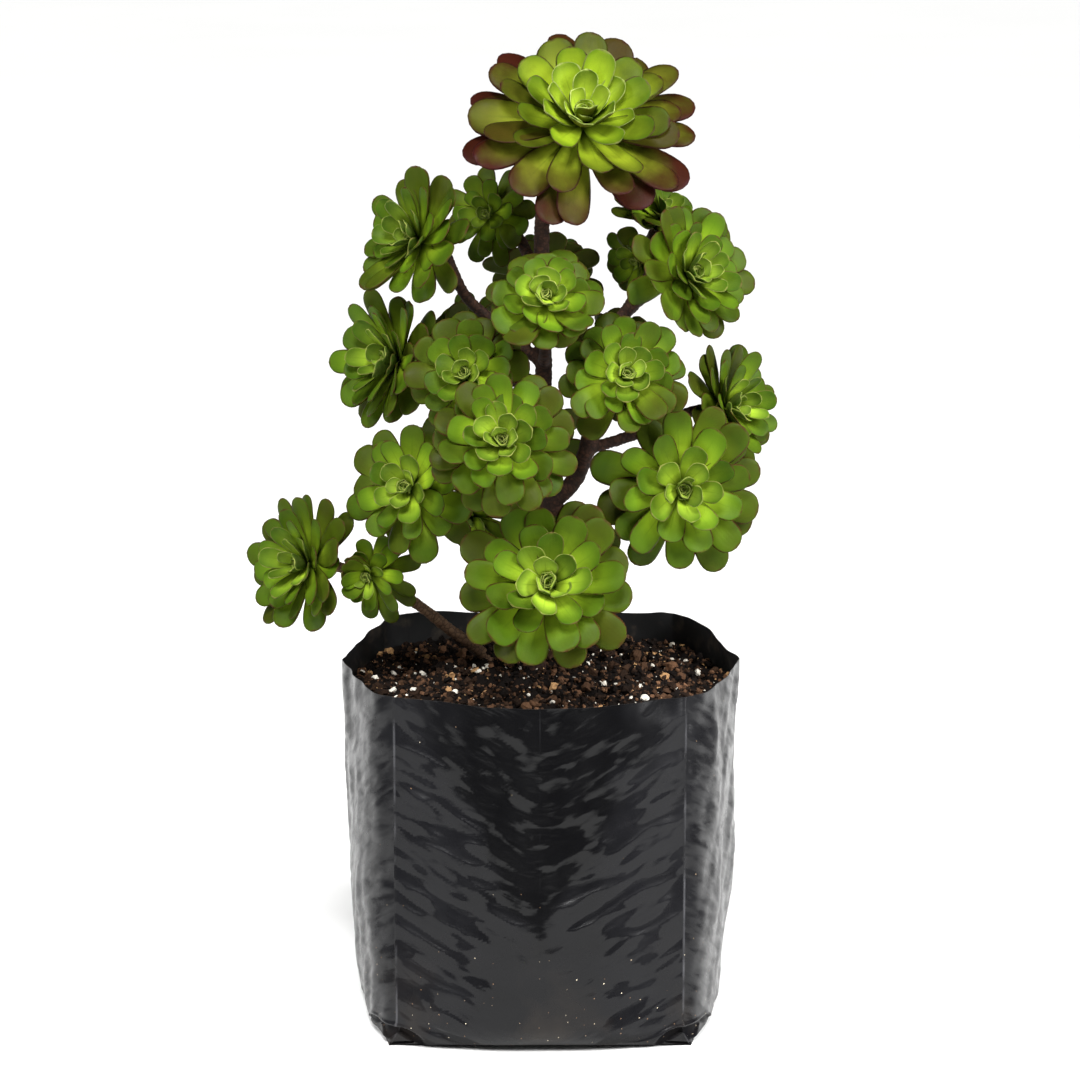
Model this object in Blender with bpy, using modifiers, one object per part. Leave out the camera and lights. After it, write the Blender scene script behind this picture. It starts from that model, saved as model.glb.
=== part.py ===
"""A branching rosette succulent with bare woody stems, in a gusseted black film grow bag.

Metres, +Z up. The origin is the centre of the bag's underside, on the floor. The viewer stands
at -Y. Run with: blender --background --python part.py
"""

import math
import random
from collections import namedtuple

import bmesh
import bpy
from mathutils import Matrix, Vector

MM = 0.001
WELD = 0.01 * MM

# The grow bag, of plastic film
BAG_HEIGHT = 198 * MM
BAG_HALF_WIDTH = 110 * MM
BAG_HALF_DEPTH = 103 * MM
BASE_HALF_WIDTH = 101 * MM
BASE_HALF_DEPTH = 86 * MM
CREASE_X = 78 * MM
BASE_CREASE_X = 84 * MM
CREASE_Y = 91 * MM
SHOULDER_HEIGHT = 24 * MM
RIM_RISE = 3.5 * MM
TAPER = 0.03
TUCK_DEPTH = 6 * MM
TUCK_HEIGHT = 16 * MM
FILM = 0.7 * MM
BULGE = 3.6 * MM
STEPS_PER_PANEL = 2
# The panels' corners in plan, from the front's middle round by the right: a crease at each corner
# of the bag, and the middle of each side between them
CORNERS = ((0, -1), (1, -1), (1, 0), (1, 1), (0, 1), (-1, 1), (-1, 0), (-1, -1))
BAG_RINGS = (0, 0.03, 0.06, 0.1, 0.18, 0.4, 0.7, 1)

# The potting mix
SOIL_EDGE = 183 * MM
SOIL_CROWN = 6 * MM
SOIL_LUMPS = 2.2 * MM
SOIL_GAP = 0.5 * MM
SOIL_RINGS = (0.84, 0.62, 0.4, 0.2)

# The wood
TRUNK_RADIUS = 5.4 * MM
LEFT_RADIUS = 3.6 * MM
BRANCH_RADIUS = 3.1 * MM
STEM_STEP = 24 * MM
BRANCH_STEP = 20 * MM
THICK_SIDES = 8
THIN_SIDES = 6
APPROACH = 7 * MM
HOLE_GAP = 0.5 * MM
HOLE_TOP = SOIL_EDGE + 30 * MM
SEAT_GAP = 0.3 * MM

# The leaves
GOLDEN_ANGLE = math.radians(137.508)
SEAT_DEPTH = 0.35
CORE_WIDTH = 0.13
ROOT_WIDTH = 0.2
WIDEST = 0.72
OUTER_SHARE = 0.36
INNER_SHARE = 0.84
INNER_STEP = 3
BROADER = 1.1
LONGEST_LEAF = 1.04
LEAF_FLOOR = SOIL_EDGE + SOIL_CROWN + 5 * MM
LEAF_STATIONS = (0.0, 0.6, 0.9)
KEEL = 1.1 * MM
CLEAR = 0.5 * MM
WOOD_CLEAR = 0.6 * MM
PROBES_ALONG = (0.05, 0.1, 0.15, 0.2, 0.25, 0.3, 0.4, 0.5, 0.6, 0.7, 0.8, 0.9, 1)
PROBES_ACROSS = (-1, -0.5, 0, 0.5, 1)
BENDS = range(-54, 55, 9)
SIZES = (1, 0.9, 0.8, 0.7, 0.6, 0.5)
BEND_COST = 0.01

# place is the rosette's heart in mm, heading turns it from the viewer towards +X, rise lifts it
# above level, radius is in mm, spread is the oldest leaf's angle from the axis, and broad is
# the width of an outer leaf over the radius.
Rosette = namedtuple("Rosette", "name place heading rise radius leaves spread broad")

ROSETTES = (
    Rosette("rosette_top", (27, -4, 510), 14, 38, 68, 52, 101, 0.36),
    Rosette("rosette_upper_left", (-75, -5, 437), -52, 14, 40, 32, 90, 0.36),
    Rosette("rosette_upper_left_inner", (-29, 30, 446), -25, 10, 30, 26, 100, 0.38),
    Rosette("rosette_upper_mid", (3, -55, 413), 2, 34, 35, 34, 98, 0.46),
    Rosette("rosette_upper_right", (90, -20, 420), 38, 10, 43, 40, 92, 0.36),
    Rosette("rosette_crown_back", (70, 45, 444), 110, 34, 30, 26, 95, 0.42),
    Rosette("rosette_right_inner", (54, 30, 420), -30, -5, 25, 22, 100, 0.45),
    Rosette("rosette_left_mid", (-88, -2, 369), -54, 10, 40, 32, 88, 0.34),
    Rosette("rosette_mid_left", (-40, -52, 371), -12, 20, 36, 32, 98, 0.48),
    Rosette("rosette_mid_right", (46, -55, 370), 12, 16, 39, 40, 98, 0.40),
    Rosette("rosette_right_mid", (112, -2, 343), 46, 8, 39, 34, 84, 0.31),
    Rosette("rosette_mid_centre", (-19, -86, 341), -2, 18, 41, 46, 98, 0.40),
    Rosette("rosette_low_right", (77, -50, 307), 10, 10, 50, 40, 97, 0.35),
    Rosette("rosette_low_left", (-72, -42, 306), -24, 16, 42, 36, 97, 0.39),
    Rosette("rosette_far_left", (-134, -14, 257), -42, 10, 43, 34, 86, 0.31),
    Rosette("rosette_left_small", (-94, -30, 251), -14, -8, 26, 24, 96, 0.34),
    Rosette("rosette_front_low", (5, -80, 259), 0, 18, 51, 42, 99, 0.38),
    Rosette("rosette_behind_low", (-39, -16, 282), -20, -22, 28, 20, 96, 0.42),
    Rosette("rosette_back_top", (3, 58, 410), 176, 30, 36, 28, 96, 0.42),
    Rosette("rosette_back_left", (-44, 54, 372), -148, 22, 37, 28, 96, 0.42),
    Rosette("rosette_back_right", (50, 56, 358), 148, 20, 38, 28, 96, 0.42),
    Rosette("rosette_back_low", (-12, 64, 312), -172, 18, 40, 30, 96, 0.42),
    Rosette("rosette_back_foot", (8, 52, 250), 174, 22, 40, 28, 94, 0.42),
)

# The joints of the wood, in mm. A branch runs through them to a rosette's seat.
TRUNK = ((-2, -1, 120), (-2, -1, 190), (-1, -1, 240), (0, 0, 285))
CENTRE = ((0, 0, 285), (1, 5, 330), (2, 7, 365), (1, 7, 405), (1, 7, 444))
RIGHT = ((0, 0, 285), (17, 2, 298), (26, 3, 318), (30, 3, 342), (36, 5, 368), (45, 8, 392))
LEFT = ((-15, 40, 140), (-29, 30, 188), (-51, 20, 210), (-73, 10, 230), (-96, 4, 244))

BRANCHES = {
    "rosette_top": ((1, 7, 444), (4, 8, 462)),
    "rosette_upper_left": ((2, 7, 365), (-20, 13, 384), (-41, 11, 403)),
    "rosette_upper_left_inner": ((1, 7, 405), (-6, 16, 424), (-15, 30, 438)),
    "rosette_upper_mid": ((2, 7, 365), (3, -15, 380)),
    "rosette_upper_right": ((45, 8, 392), (60, 5, 408)),
    "rosette_crown_back": ((45, 8, 392), (60, 12, 414), (62, 26, 430)),
    "rosette_right_inner": ((45, 8, 392), (58, 22, 402), (64, 38, 412)),
    "rosette_left_mid": ((1, 5, 330), (-25, 9, 345), (-55, 10, 358)),
    "rosette_mid_left": ((2, 7, 350), (-12, -5, 358)),
    "rosette_mid_right": ((31, 3, 346), (36, -14, 356)),
    "rosette_right_mid": ((26, 3, 318), (55, 10, 326), (82, 12, 337)),
    "rosette_mid_centre": ((0, 2, 306), (-8, -18, 318), (-14, -42, 326)),
    "rosette_low_right": ((0, 0, 285), (28, -2, 283), (52, -12, 290)),
    "rosette_low_left": ((-1, -1, 242), (-25, -4, 252), (-43, -8, 268)),
    "rosette_left_small": ((-84, 7, 237), (-88, -4, 245)),
    "rosette_front_low": ((-2, -1, 212), (0, -20, 226), (3, -38, 236)),
    "rosette_behind_low": ((0, -1, 280), (-16, 2, 290)),
    "rosette_back_top": ((2, 7, 388), (2, 24, 394)),
    "rosette_back_left": ((2, 7, 350), (-12, 22, 358)),
    "rosette_back_right": ((30, 3, 342), (38, 20, 346)),
    "rosette_back_low": ((1, 4, 318), (-3, 22, 306)),
    "rosette_back_foot": ((-2, -1, 216), (3, 14, 228)),
}

def clear_scene():
    for obj in list(bpy.data.objects):
        bpy.data.objects.remove(obj)


def new_collection(name):
    collection = bpy.data.collections.new(name)
    bpy.context.scene.collection.children.link(collection)
    return collection


def new_material(name, colour, roughness, metallic=0.0):
    material = bpy.data.materials.new(name)
    material.use_nodes = True
    shader = material.node_tree.nodes["Principled BSDF"]
    shader.inputs["Base Color"].default_value = (*colour, 1)
    shader.inputs["Roughness"].default_value = roughness
    shader.inputs["Metallic"].default_value = metallic
    return material


def add_object(name, mesh, collection, material=None):
    obj = bpy.data.objects.new(name, mesh)
    collection.objects.link(obj)
    if material:
        mesh.materials.append(material)
    return obj


def mesh_of(name, points, faces):
    mesh = bpy.data.meshes.new(name)
    mesh.from_pydata([tuple(p) for p in points], [], faces)
    mesh.update()
    return mesh


def applied(obj):
    """The object's evaluated mesh takes the place of its mesh and modifiers."""
    bpy.context.view_layer.update()
    graph = bpy.context.evaluated_depsgraph_get()
    mesh = bpy.data.meshes.new_from_object(obj.evaluated_get(graph))
    obj.modifiers.clear()
    obj.data = mesh
    return obj


def remove_objects(objects):
    for obj in objects:
        bpy.data.objects.remove(obj)


# The bag and the soil share one outline

def shoulder(z):
    """0 on the floor, rising fast to 1 where the bag reaches its full width."""
    return 1 - (1 - min(z / SHOULDER_HEIGHT, 1.0)) ** 2.4


def tuck(z):
    """How far the folded bottom corner is drawn in at this height."""
    if z >= TUCK_HEIGHT:
        return 0.0
    return TUCK_DEPTH * math.sin(math.pi * (0.25 + 0.75 * z / TUCK_HEIGHT))


def blend(start, end, share):
    return start + (end - start) * share


def outline(height_share, inset=0.0):
    """The bag's plan at a share of its height: eight panels between corners, each a shallow arc."""
    z = height_share * BAG_HEIGHT
    full = shoulder(z)
    taper = blend(1 - TAPER, 1, height_share)
    half_width = blend(BASE_HALF_WIDTH, BAG_HALF_WIDTH * taper, full)
    half_depth = blend(BASE_HALF_DEPTH, BAG_HALF_DEPTH, full)
    crease = Vector((blend(BASE_CREASE_X, CREASE_X, full), blend(BASE_HALF_DEPTH, CREASE_Y, full), 0))
    crease -= crease.normalized() * tuck(z)
    corners = []
    for sx, sy in CORNERS:
        reach = crease if sx and sy else Vector((half_width, half_depth, 0))
        corners.append(Vector((sx * reach.x, sy * reach.y, 0)))
    points = []
    for i, start in enumerate(corners):
        along = corners[(i + 1) % len(corners)] - start
        out = Vector((along.y, -along.x, 0)).normalized() * BULGE * full
        for k in range(STEPS_PER_PANEL):
            share = k / STEPS_PER_PANEL
            points.append(start + along * share + out * 4 * share * (1 - share))
    return inset_points(points, inset) if inset else points


def inset_points(points, distance):
    """The outline drawn in by a distance, along the mean of each point's two edge normals."""
    moved = []
    for i, p in enumerate(points):
        before = p - points[i - 1]
        after = points[(i + 1) % len(points)] - p
        edge_out = Vector((before.y, -before.x, 0)).normalized()
        out = (edge_out + Vector((after.y, -after.x, 0)).normalized()).normalized()
        moved.append(p - out * distance / out.dot(edge_out))
    return moved


def rim_rise(i, count):
    """The rim stands higher at the four creases than between them."""
    return RIM_RISE * 0.5 * (1 - math.cos(4 * math.tau * i / count))


def rings_to_faces(rings, count):
    faces = []
    for r in range(rings - 1):
        for i in range(count):
            j = (i + 1) % count
            faces.append((r * count + i, r * count + j, (r + 1) * count + j, (r + 1) * count + i))
    return faces


def grow_bag(collection, material):
    points = []
    for share in BAG_RINGS:
        ring = outline(share)
        lift = share ** 4
        for i, p in enumerate(ring):
            points.append(Vector((p.x, p.y, share * BAG_HEIGHT + lift * rim_rise(i, len(ring)))))
    count = len(ring)
    faces = rings_to_faces(len(BAG_RINGS), count)
    points.append(Vector((0, 0, 0)))
    faces += [((i + 1) % count, i, len(points) - 1) for i in range(count)]
    bag = add_object("grow_bag", mesh_of("grow_bag", points, faces), collection, material)
    wall = bag.modifiers.new("film", "SOLIDIFY")
    wall.thickness = FILM
    wall.offset = -1
    wall.use_even_offset = True
    return bag


def soil_height(x, y):
    """A low crown with lumps, worked out from waves of different lengths."""
    reach = min(math.hypot(x / BAG_HALF_WIDTH, y / BAG_HALF_DEPTH), 1.0)
    lumps = math.sin(x * 190 + 1.3) * math.cos(y * 170 - 0.7) + 0.6 * math.sin(x * 71 - y * 113)
    return SOIL_EDGE + SOIL_CROWN * (1 - reach ** 2) + SOIL_LUMPS * 0.5 * lumps * (1 - reach ** 4)


def potting_mix(collection, cutters, material):
    inset = FILM + SOIL_GAP
    top_share = SOIL_EDGE / BAG_HEIGHT
    shares = [s for s in BAG_RINGS if s < top_share] + [top_share]
    points = []
    for share in shares:
        for p in outline(share, inset):
            z = max(share * BAG_HEIGHT, inset)
            points.append(Vector((p.x, p.y, z)))
    count = len(outline(0))
    edge = points[-count:]
    for ring_share in SOIL_RINGS:
        for p in edge:
            x, y = p.x * ring_share, p.y * ring_share
            points.append(Vector((x, y, soil_height(x, y))))
    faces = rings_to_faces(len(shares) + len(SOIL_RINGS), count)
    points.append(Vector((0, 0, soil_height(0, 0))))
    last = (len(shares) + len(SOIL_RINGS) - 1) * count
    faces += [(last + i, last + (i + 1) % count, len(points) - 1) for i in range(count)]
    points.append(Vector((0, 0, inset)))
    faces += [((i + 1) % count, i, len(points) - 1) for i in range(count)]
    soil = add_object("potting_mix", mesh_of("potting_mix", points, faces), collection, material)
    for cutter in cutters:
        cut = soil.modifiers.new("stem hole", "BOOLEAN")
        cut.operation = "DIFFERENCE"
        cut.object = cutter
    return soil


# The wood

def smooth_route(joints, step):
    """Points along a Catmull-Rom curve through the joints, about a step apart."""
    points = [Vector(j) * MM for j in joints]
    ends = [2 * points[0] - points[1], *points, 2 * points[-1] - points[-2]]
    route = []
    for a, b, c, d in zip(ends, ends[1:], ends[2:], ends[3:]):
        pieces = max(1, round((c - b).length / step))
        for k in range(pieces):
            u = k / pieces
            square = 2 * a - 5 * b + 4 * c - d
            cube = 3 * b - a - 3 * c + d
            route.append(0.5 * (2 * b + (c - a) * u + square * u ** 2 + cube * u ** 3))
    return [*route, points[-1]]


def radius_at(tube, k):
    """A tube's radius at the k-th point of its route."""
    return blend(tube.foot, tube.end, k / (len(tube.route) - 1))


def tube_object(name, tube, collection, sides):
    """A tapering tube along a route, as a closed mesh."""
    curve = bpy.data.curves.new(name, "CURVE")
    curve.dimensions = "3D"
    curve.bevel_depth = 1
    curve.bevel_resolution = sides // 2 - 2
    curve.use_fill_caps = True
    spline = curve.splines.new("POLY")
    spline.points.add(len(tube.route) - 1)
    for k, (point, place) in enumerate(zip(spline.points, tube.route)):
        point.co = (*place, 1)
        point.radius = radius_at(tube, k)
    guide = add_object(name, curve, collection)
    bpy.context.view_layer.update()
    graph = bpy.context.evaluated_depsgraph_get()
    mesh = bpy.data.meshes.new_from_object(guide.evaluated_get(graph))
    shape = bmesh.new()
    shape.from_mesh(mesh)
    bmesh.ops.remove_doubles(shape, verts=shape.verts, dist=WELD)
    bmesh.ops.recalc_face_normals(shape, faces=shape.faces)
    shape.to_mesh(mesh)
    shape.free()
    remove_objects([guide])
    return add_object(name, mesh, collection)


def seat_of(rosette):
    """Where the stem's end meets the rosette's core."""
    depth = SEAT_DEPTH * rosette.radius * MM
    return Vector(rosette.place) * MM - axis_of(rosette) * depth


def branch_route(rosette, joints):
    """Through the joints to the rosette's seat, arriving along the rosette's axis."""
    seat = seat_of(rosette)
    approach = seat - axis_of(rosette) * APPROACH
    ends = [tuple(p / MM for p in v) for v in (approach, seat)]
    return smooth_route([*joints, *ends], BRANCH_STEP)


Tube = namedtuple("Tube", "stem route foot end")


def wood():
    """Every tube of the wood, with its stem's name, route, and radius at its foot and its end."""
    by_name = {r.name: r for r in ROSETTES}
    trunk, left = TRUNK_RADIUS, LEFT_RADIUS
    tubes = [
        Tube("main_stem", smooth_route(TRUNK, STEM_STEP), trunk, trunk * 0.96),
        Tube("main_stem", smooth_route(CENTRE, STEM_STEP), trunk * 0.94, trunk * 0.8),
        Tube("main_stem", smooth_route(RIGHT, STEM_STEP), trunk * 0.96, trunk * 0.72),
        Tube("left_stem", branch_route(by_name["rosette_far_left"], LEFT), left, left * 0.86),
    ]
    for name, joints in BRANCHES.items():
        stem = "left_stem" if name == "rosette_left_small" else "main_stem"
        foot = BRANCH_RADIUS * (1.35 if name == "rosette_top" else 1.1)
        tubes.append(Tube(stem, branch_route(by_name[name], joints), foot, BRANCH_RADIUS))
    return tubes


def keep_outer_shell(mesh):
    """Deletes all but the largest shell, so a hollow sealed among leaves is filled."""
    shape = bmesh.new()
    shape.from_mesh(mesh)
    unseen = set(shape.verts)
    shells = []
    while unseen:
        shell, front = set(), [unseen.pop()]
        while front:
            vert = front.pop()
            shell.add(vert)
            near = {edge.other_vert(vert) for edge in vert.link_edges} & unseen
            unseen -= near
            front.extend(near)
        shells.append(shell)
    outer = max(shells, key=len)
    bmesh.ops.delete(shape, geom=[v for v in shape.verts if v not in outer], context="VERTS")
    shape.to_mesh(mesh)
    shape.free()


def joined(obj, others):
    """Joins a collection's objects to this one with one union, then removes them."""
    join = obj.modifiers.new("join", "BOOLEAN")
    join.operation = "UNION"
    join.operand_type = "COLLECTION"
    join.collection = others
    join.solver = "MANIFOLD"
    applied(obj)
    keep_outer_shell(obj.data)
    remove_objects(list(others.objects))
    bpy.data.collections.remove(others)
    return obj


def fused_stem(name, tubes, collection, material):
    """One woody stem: its first tube, joined with its branches."""
    branches = new_collection(name + " branches")
    first, *others = [t for t in tubes if t.stem == name]
    stem = tube_object(name, first, collection, THICK_SIDES)
    stem.data.materials.append(material)
    for k, tube in enumerate(others):
        sides = THICK_SIDES if tube.end > BRANCH_RADIUS * 1.2 else THIN_SIDES
        tube_object(f"{name} branch {k}", tube, branches, sides)
    return joined(stem, branches)


def stem_hole(name, tube, collection):
    """A wider tube round the buried end of a stem, which cuts its hole in the soil."""
    below = tube.route[0] + (tube.route[0] - tube.route[1]).normalized() * HOLE_GAP
    path = [below, *[p for p in tube.route if p.z < HOLE_TOP]]
    wide = tube.foot + HOLE_GAP
    hole = tube_object(name, Tube(name, path, wide, wide), collection, THICK_SIDES)
    hole.hide_render = True
    hole.display_type = "WIRE"
    return hole


# The rosettes

def axis_of(rosette):
    heading, rise = math.radians(rosette.heading), math.radians(rosette.rise)
    level = math.cos(rise)
    return Vector((math.sin(heading) * level, -math.cos(heading) * level, math.sin(rise)))


def frame_of(rosette):
    """The matrix from the rosette's own space, with its axis on +Z, to the world."""
    turn = axis_of(rosette).to_track_quat("Z", "Y").to_matrix().to_4x4()
    return Matrix.Translation(Vector(rosette.place) * MM) @ turn


def cell_of(rosette):
    """The planes that bound this rosette's own room, each a point and its normal away from the room."""
    here = Vector(rosette.place) * MM
    planes = [(Vector((0, 0, LEAF_FLOOR)), Vector((0, 0, -1)))]
    for other in ROSETTES:
        there = Vector(other.place) * MM
        apart = there - here
        reach = (rosette.radius + other.radius) * MM
        if other.name == rosette.name or apart.length > reach * LONGEST_LEAF:
            continue
        squares = (rosette.radius ** 2 - other.radius ** 2) * MM ** 2
        share = 0.5 + squares / (2 * apart.length_squared)
        normal = apart.normalized()
        planes.append((here + apart * share - normal * CLEAR, normal))
    return planes


Leaf = namedtuple("Leaf", "turn tilt length width bend cup root")


def leaf_rule(rosette, index):
    """The leaf's shape from its age alone: 1 for the oldest, outermost leaf, near 0 at the heart."""
    chance = random.Random(f"{rosette.name} {index}")
    age = 1 - index / rosette.leaves
    radius = rosette.radius * MM
    tilt = math.radians(rosette.spread) * age ** 0.36 + math.radians(chance.uniform(-5, 5))
    reach = radius * age ** 0.72 * chance.uniform(0.93, LONGEST_LEAF)
    width = radius * rosette.broad * (0.5 + 0.5 * age ** 0.6) * chance.uniform(0.92, 1.06)
    return Leaf(
        turn=index * GOLDEN_ANGLE + math.radians(chance.uniform(-6, 6)),
        tilt=tilt,
        length=reach / max(math.sin(tilt), 0.55),
        width=width,
        bend=math.radians(46 * (1 - age) - 14 * age + chance.uniform(-6, 6)),
        cup=0.2 + 0.4 * (1 - age),
        root=-0.27 * radius * age,
    )


def blade_half_width(s):
    """A spoon-shaped leaf's half width at a share of its length, over its widest half width."""
    if s <= WIDEST:
        return ROOT_WIDTH + (1 - ROOT_WIDTH) * math.sin(0.5 * math.pi * s / WIDEST) ** 1.6
    return math.sqrt(max(1 - ((s - WIDEST) / (1 - WIDEST)) ** 2, 0))


def blade_point(leaf, s, across, lift=0.0):
    """A point of the leaf in the rosette's space: s along it, across from -1 to 1, lift off its face."""
    bend = leaf.bend if abs(leaf.bend) > 0.02 else 0.02
    start = leaf.tilt + bend / 2
    angle = start - bend * s
    radial = leaf.length * (math.cos(angle) - math.cos(start)) / bend
    height = leaf.root + leaf.length * (math.sin(start) - math.sin(angle)) / bend
    half = 0.5 * leaf.width * blade_half_width(s)
    raised = leaf.cup * half * across ** 2 + lift
    radial += -math.cos(angle) * raised
    height += math.sin(angle) * raised
    out = Vector((math.cos(leaf.turn), math.sin(leaf.turn), 0))
    side = Vector((-math.sin(leaf.turn), math.cos(leaf.turn), 0))
    return out * radial + side * (half * across) + Vector((0, 0, height))


def leaf_points(leaf):
    """The corners of the faceted leaf: left edge, right edge and keel at each station, and the tip."""
    points = []
    for s in LEAF_STATIONS:
        points += [blade_point(leaf, s, -1), blade_point(leaf, s, 1), blade_point(leaf, s, 0, -KEEL)]
    return [*points, blade_point(leaf, 1.0, 0.0)]


def leaf_faces():
    """The root's end, three sides between each two stations, and three faces that close the tip."""
    faces = [(0, 1, 2)]
    last = 3 * (len(LEAF_STATIONS) - 1)
    for k in range(0, last, 3):
        for a, b in ((0, 1), (1, 2), (2, 0)):
            faces.append((k + a, k + 3 + a, k + 3 + b, k + b))
    return faces + [(last + a, last + 3, last + b) for a, b in ((0, 1), (1, 2), (2, 0))]


def share_along(a, b, p):
    along = b - a
    return (p - a).dot(along) / along.length_squared


def from_wood(p, piece):
    """How far a point is from a straight piece of wood; the seated end of a branch is flat."""
    a, b, radius, seated = piece
    share = share_along(a, b, p)
    if seated and share > 1:
        return max((share - 1) * (b - a).length, (p - a.lerp(b, share)).length - radius)
    return (p - a.lerp(b, min(max(share, 0), 1))).length - radius


def is_free(leaf, frame, planes, pieces):
    """True if the leaf stays in its rosette's room and off the wood."""
    for p in leaf_points(leaf)[3:]:
        place = frame @ p
        if any((place - point).dot(normal) > 0 for point, normal in planes):
            return False
    for s in PROBES_ALONG:
        for across in PROBES_ACROSS:
            place = frame @ blade_point(leaf, s, across, -KEEL * (1 - abs(across)))
            if any(from_wood(place, piece) < WOOD_CLEAR for piece in pieces):
                return False
    return True


def fitted(leaf, frame, planes, pieces):
    """The leaf, bent or drawn in by the least that keeps it clear, or None where there is no room."""
    tries = []
    for turn in BENDS:
        for size in SIZES:
            cost = abs(turn) * BEND_COST + (1 - size)
            tries.append((cost, turn, size))
    for _, turn, size in sorted(tries):
        tilt = leaf.tilt + math.radians(turn)
        moved = leaf._replace(tilt=tilt, length=leaf.length * size, width=leaf.width * (1 + size) / 2)
        if is_free(moved, frame, planes, pieces):
            return moved
    return None


def wood_near(rosette, tubes):
    """The wood's straight pieces within reach of a rosette: (start, end, radius, whether seated)."""
    here, seat = Vector(rosette.place) * MM, seat_of(rosette)
    near = []
    for tube in tubes:
        for k, (a, b) in enumerate(zip(tube.route, tube.route[1:])):
            piece = (a, b, radius_at(tube, k), (b - seat).length < SEAT_GAP)
            if from_wood(here, piece) < rosette.radius * LONGEST_LEAF * 1.2 * MM:
                near.append(piece)
    return near


def chosen_leaves(rosette):
    """Every outer leaf, and a few of those further in."""
    outer = round(rosette.leaves * OUTER_SHARE)
    return [*range(outer), *range(outer, round(rosette.leaves * INNER_SHARE), INNER_STEP)]


def rosette_core(rosette, collection, material):
    """The turned stem end that the leaves grow from: a profile from its bud down to its seat."""
    radius = rosette.radius * MM
    seat = -SEAT_DEPTH * radius + SEAT_GAP
    profile = (
        (0, 0.2 * radius),
        (0.07 * radius, 0.13 * radius),
        (CORE_WIDTH * radius, 0),
        (CORE_WIDTH * radius, -0.2 * radius),
        (0.09 * radius, seat),
        (0, seat),
    )
    mesh = bpy.data.meshes.new(rosette.name)
    edges = [(i, i + 1) for i in range(len(profile) - 1)]
    mesh.from_pydata([(x, 0, z) for x, z in profile], edges, [])
    core = add_object(rosette.name, mesh, collection, material)
    core.matrix_world = frame_of(rosette)
    turned = core.modifiers.new("turned", "SCREW")
    turned.steps = turned.render_steps = THIN_SIDES
    turned.use_merge_vertices = True
    turned.merge_threshold = WELD
    return core


def rosette_node(rosette, tubes, collection, material):
    """One head of leaves, joined with its core."""
    frame, planes = frame_of(rosette), cell_of(rosette)
    pieces = wood_near(rosette, tubes)
    core = rosette_core(rosette, collection, material)
    leaves = new_collection(rosette.name + " leaves")
    for index in chosen_leaves(rosette):
        rule = leaf_rule(rosette, index)
        leaf = fitted(rule._replace(width=rule.width * BROADER), frame, planes, pieces)
        if leaf:
            mesh = mesh_of("leaf", leaf_points(leaf), leaf_faces())
            add_object(f"leaf {index}", mesh, leaves).matrix_world = frame
    return joined(core, leaves)


def main():
    clear_scene()
    plant = new_collection("potted rosette succulent")
    cutters = new_collection("cutters")
    film = new_material("black film", (0.012, 0.012, 0.014), 0.35)
    mix = new_material("potting mix", (0.035, 0.02, 0.012), 0.95)
    bark = new_material("bark", (0.12, 0.065, 0.035), 0.8)
    foliage = new_material("leaf", (0.13, 0.3, 0.03), 0.45)
    tubes = wood()
    grow_bag(plant, film)
    feet = {tube.stem: tube for tube in reversed(tubes)}
    holes = [stem_hole(name + " hole", tube, cutters) for name, tube in feet.items()]
    potting_mix(plant, holes, mix)
    for name in feet:
        fused_stem(name, tubes, plant, bark)
    for rosette in ROSETTES:
        rosette_node(rosette, tubes, plant, foliage)


main()
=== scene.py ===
"""The looks of a branching rosette succulent in a black film grow bag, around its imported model.

Metres, +Z up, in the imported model's own frame. The viewer stands at -Y.
"""

import math
import random
from collections import namedtuple

import bpy
from bpy.props import FloatProperty, FloatVectorProperty, IntProperty, PointerProperty
from bpy.types import Operator, Panel, PropertyGroup
from mathutils import Matrix, Vector, noise


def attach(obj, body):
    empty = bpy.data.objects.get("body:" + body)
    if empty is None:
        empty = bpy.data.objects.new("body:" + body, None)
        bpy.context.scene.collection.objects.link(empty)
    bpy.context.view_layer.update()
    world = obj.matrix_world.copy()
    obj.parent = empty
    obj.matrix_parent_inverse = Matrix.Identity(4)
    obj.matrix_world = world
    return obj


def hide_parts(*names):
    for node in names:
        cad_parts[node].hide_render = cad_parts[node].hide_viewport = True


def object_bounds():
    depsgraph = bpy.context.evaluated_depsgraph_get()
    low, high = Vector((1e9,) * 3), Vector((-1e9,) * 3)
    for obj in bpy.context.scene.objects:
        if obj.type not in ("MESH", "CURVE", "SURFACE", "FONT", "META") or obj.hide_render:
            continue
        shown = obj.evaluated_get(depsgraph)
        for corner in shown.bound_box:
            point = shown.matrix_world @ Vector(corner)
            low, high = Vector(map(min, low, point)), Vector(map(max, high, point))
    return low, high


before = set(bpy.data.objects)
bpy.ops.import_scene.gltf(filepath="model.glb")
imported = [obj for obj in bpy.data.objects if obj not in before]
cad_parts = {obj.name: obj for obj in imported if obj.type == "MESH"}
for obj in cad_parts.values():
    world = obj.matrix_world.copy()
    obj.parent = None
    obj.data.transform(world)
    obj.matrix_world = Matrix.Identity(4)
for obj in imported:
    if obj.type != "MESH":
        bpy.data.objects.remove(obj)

CAD_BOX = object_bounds()

bl_info = {
    "name": "Potted rosette succulent",
    "version": (1, 0, 0),
    "blender": (4, 5, 0),
    "location": "3D View > Sidebar > Succulent",
    "description": "Dresses the packed model of a branching succulent in a film grow bag",
    "category": "Object",
}

MM = 0.001
BODY = "root"

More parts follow.
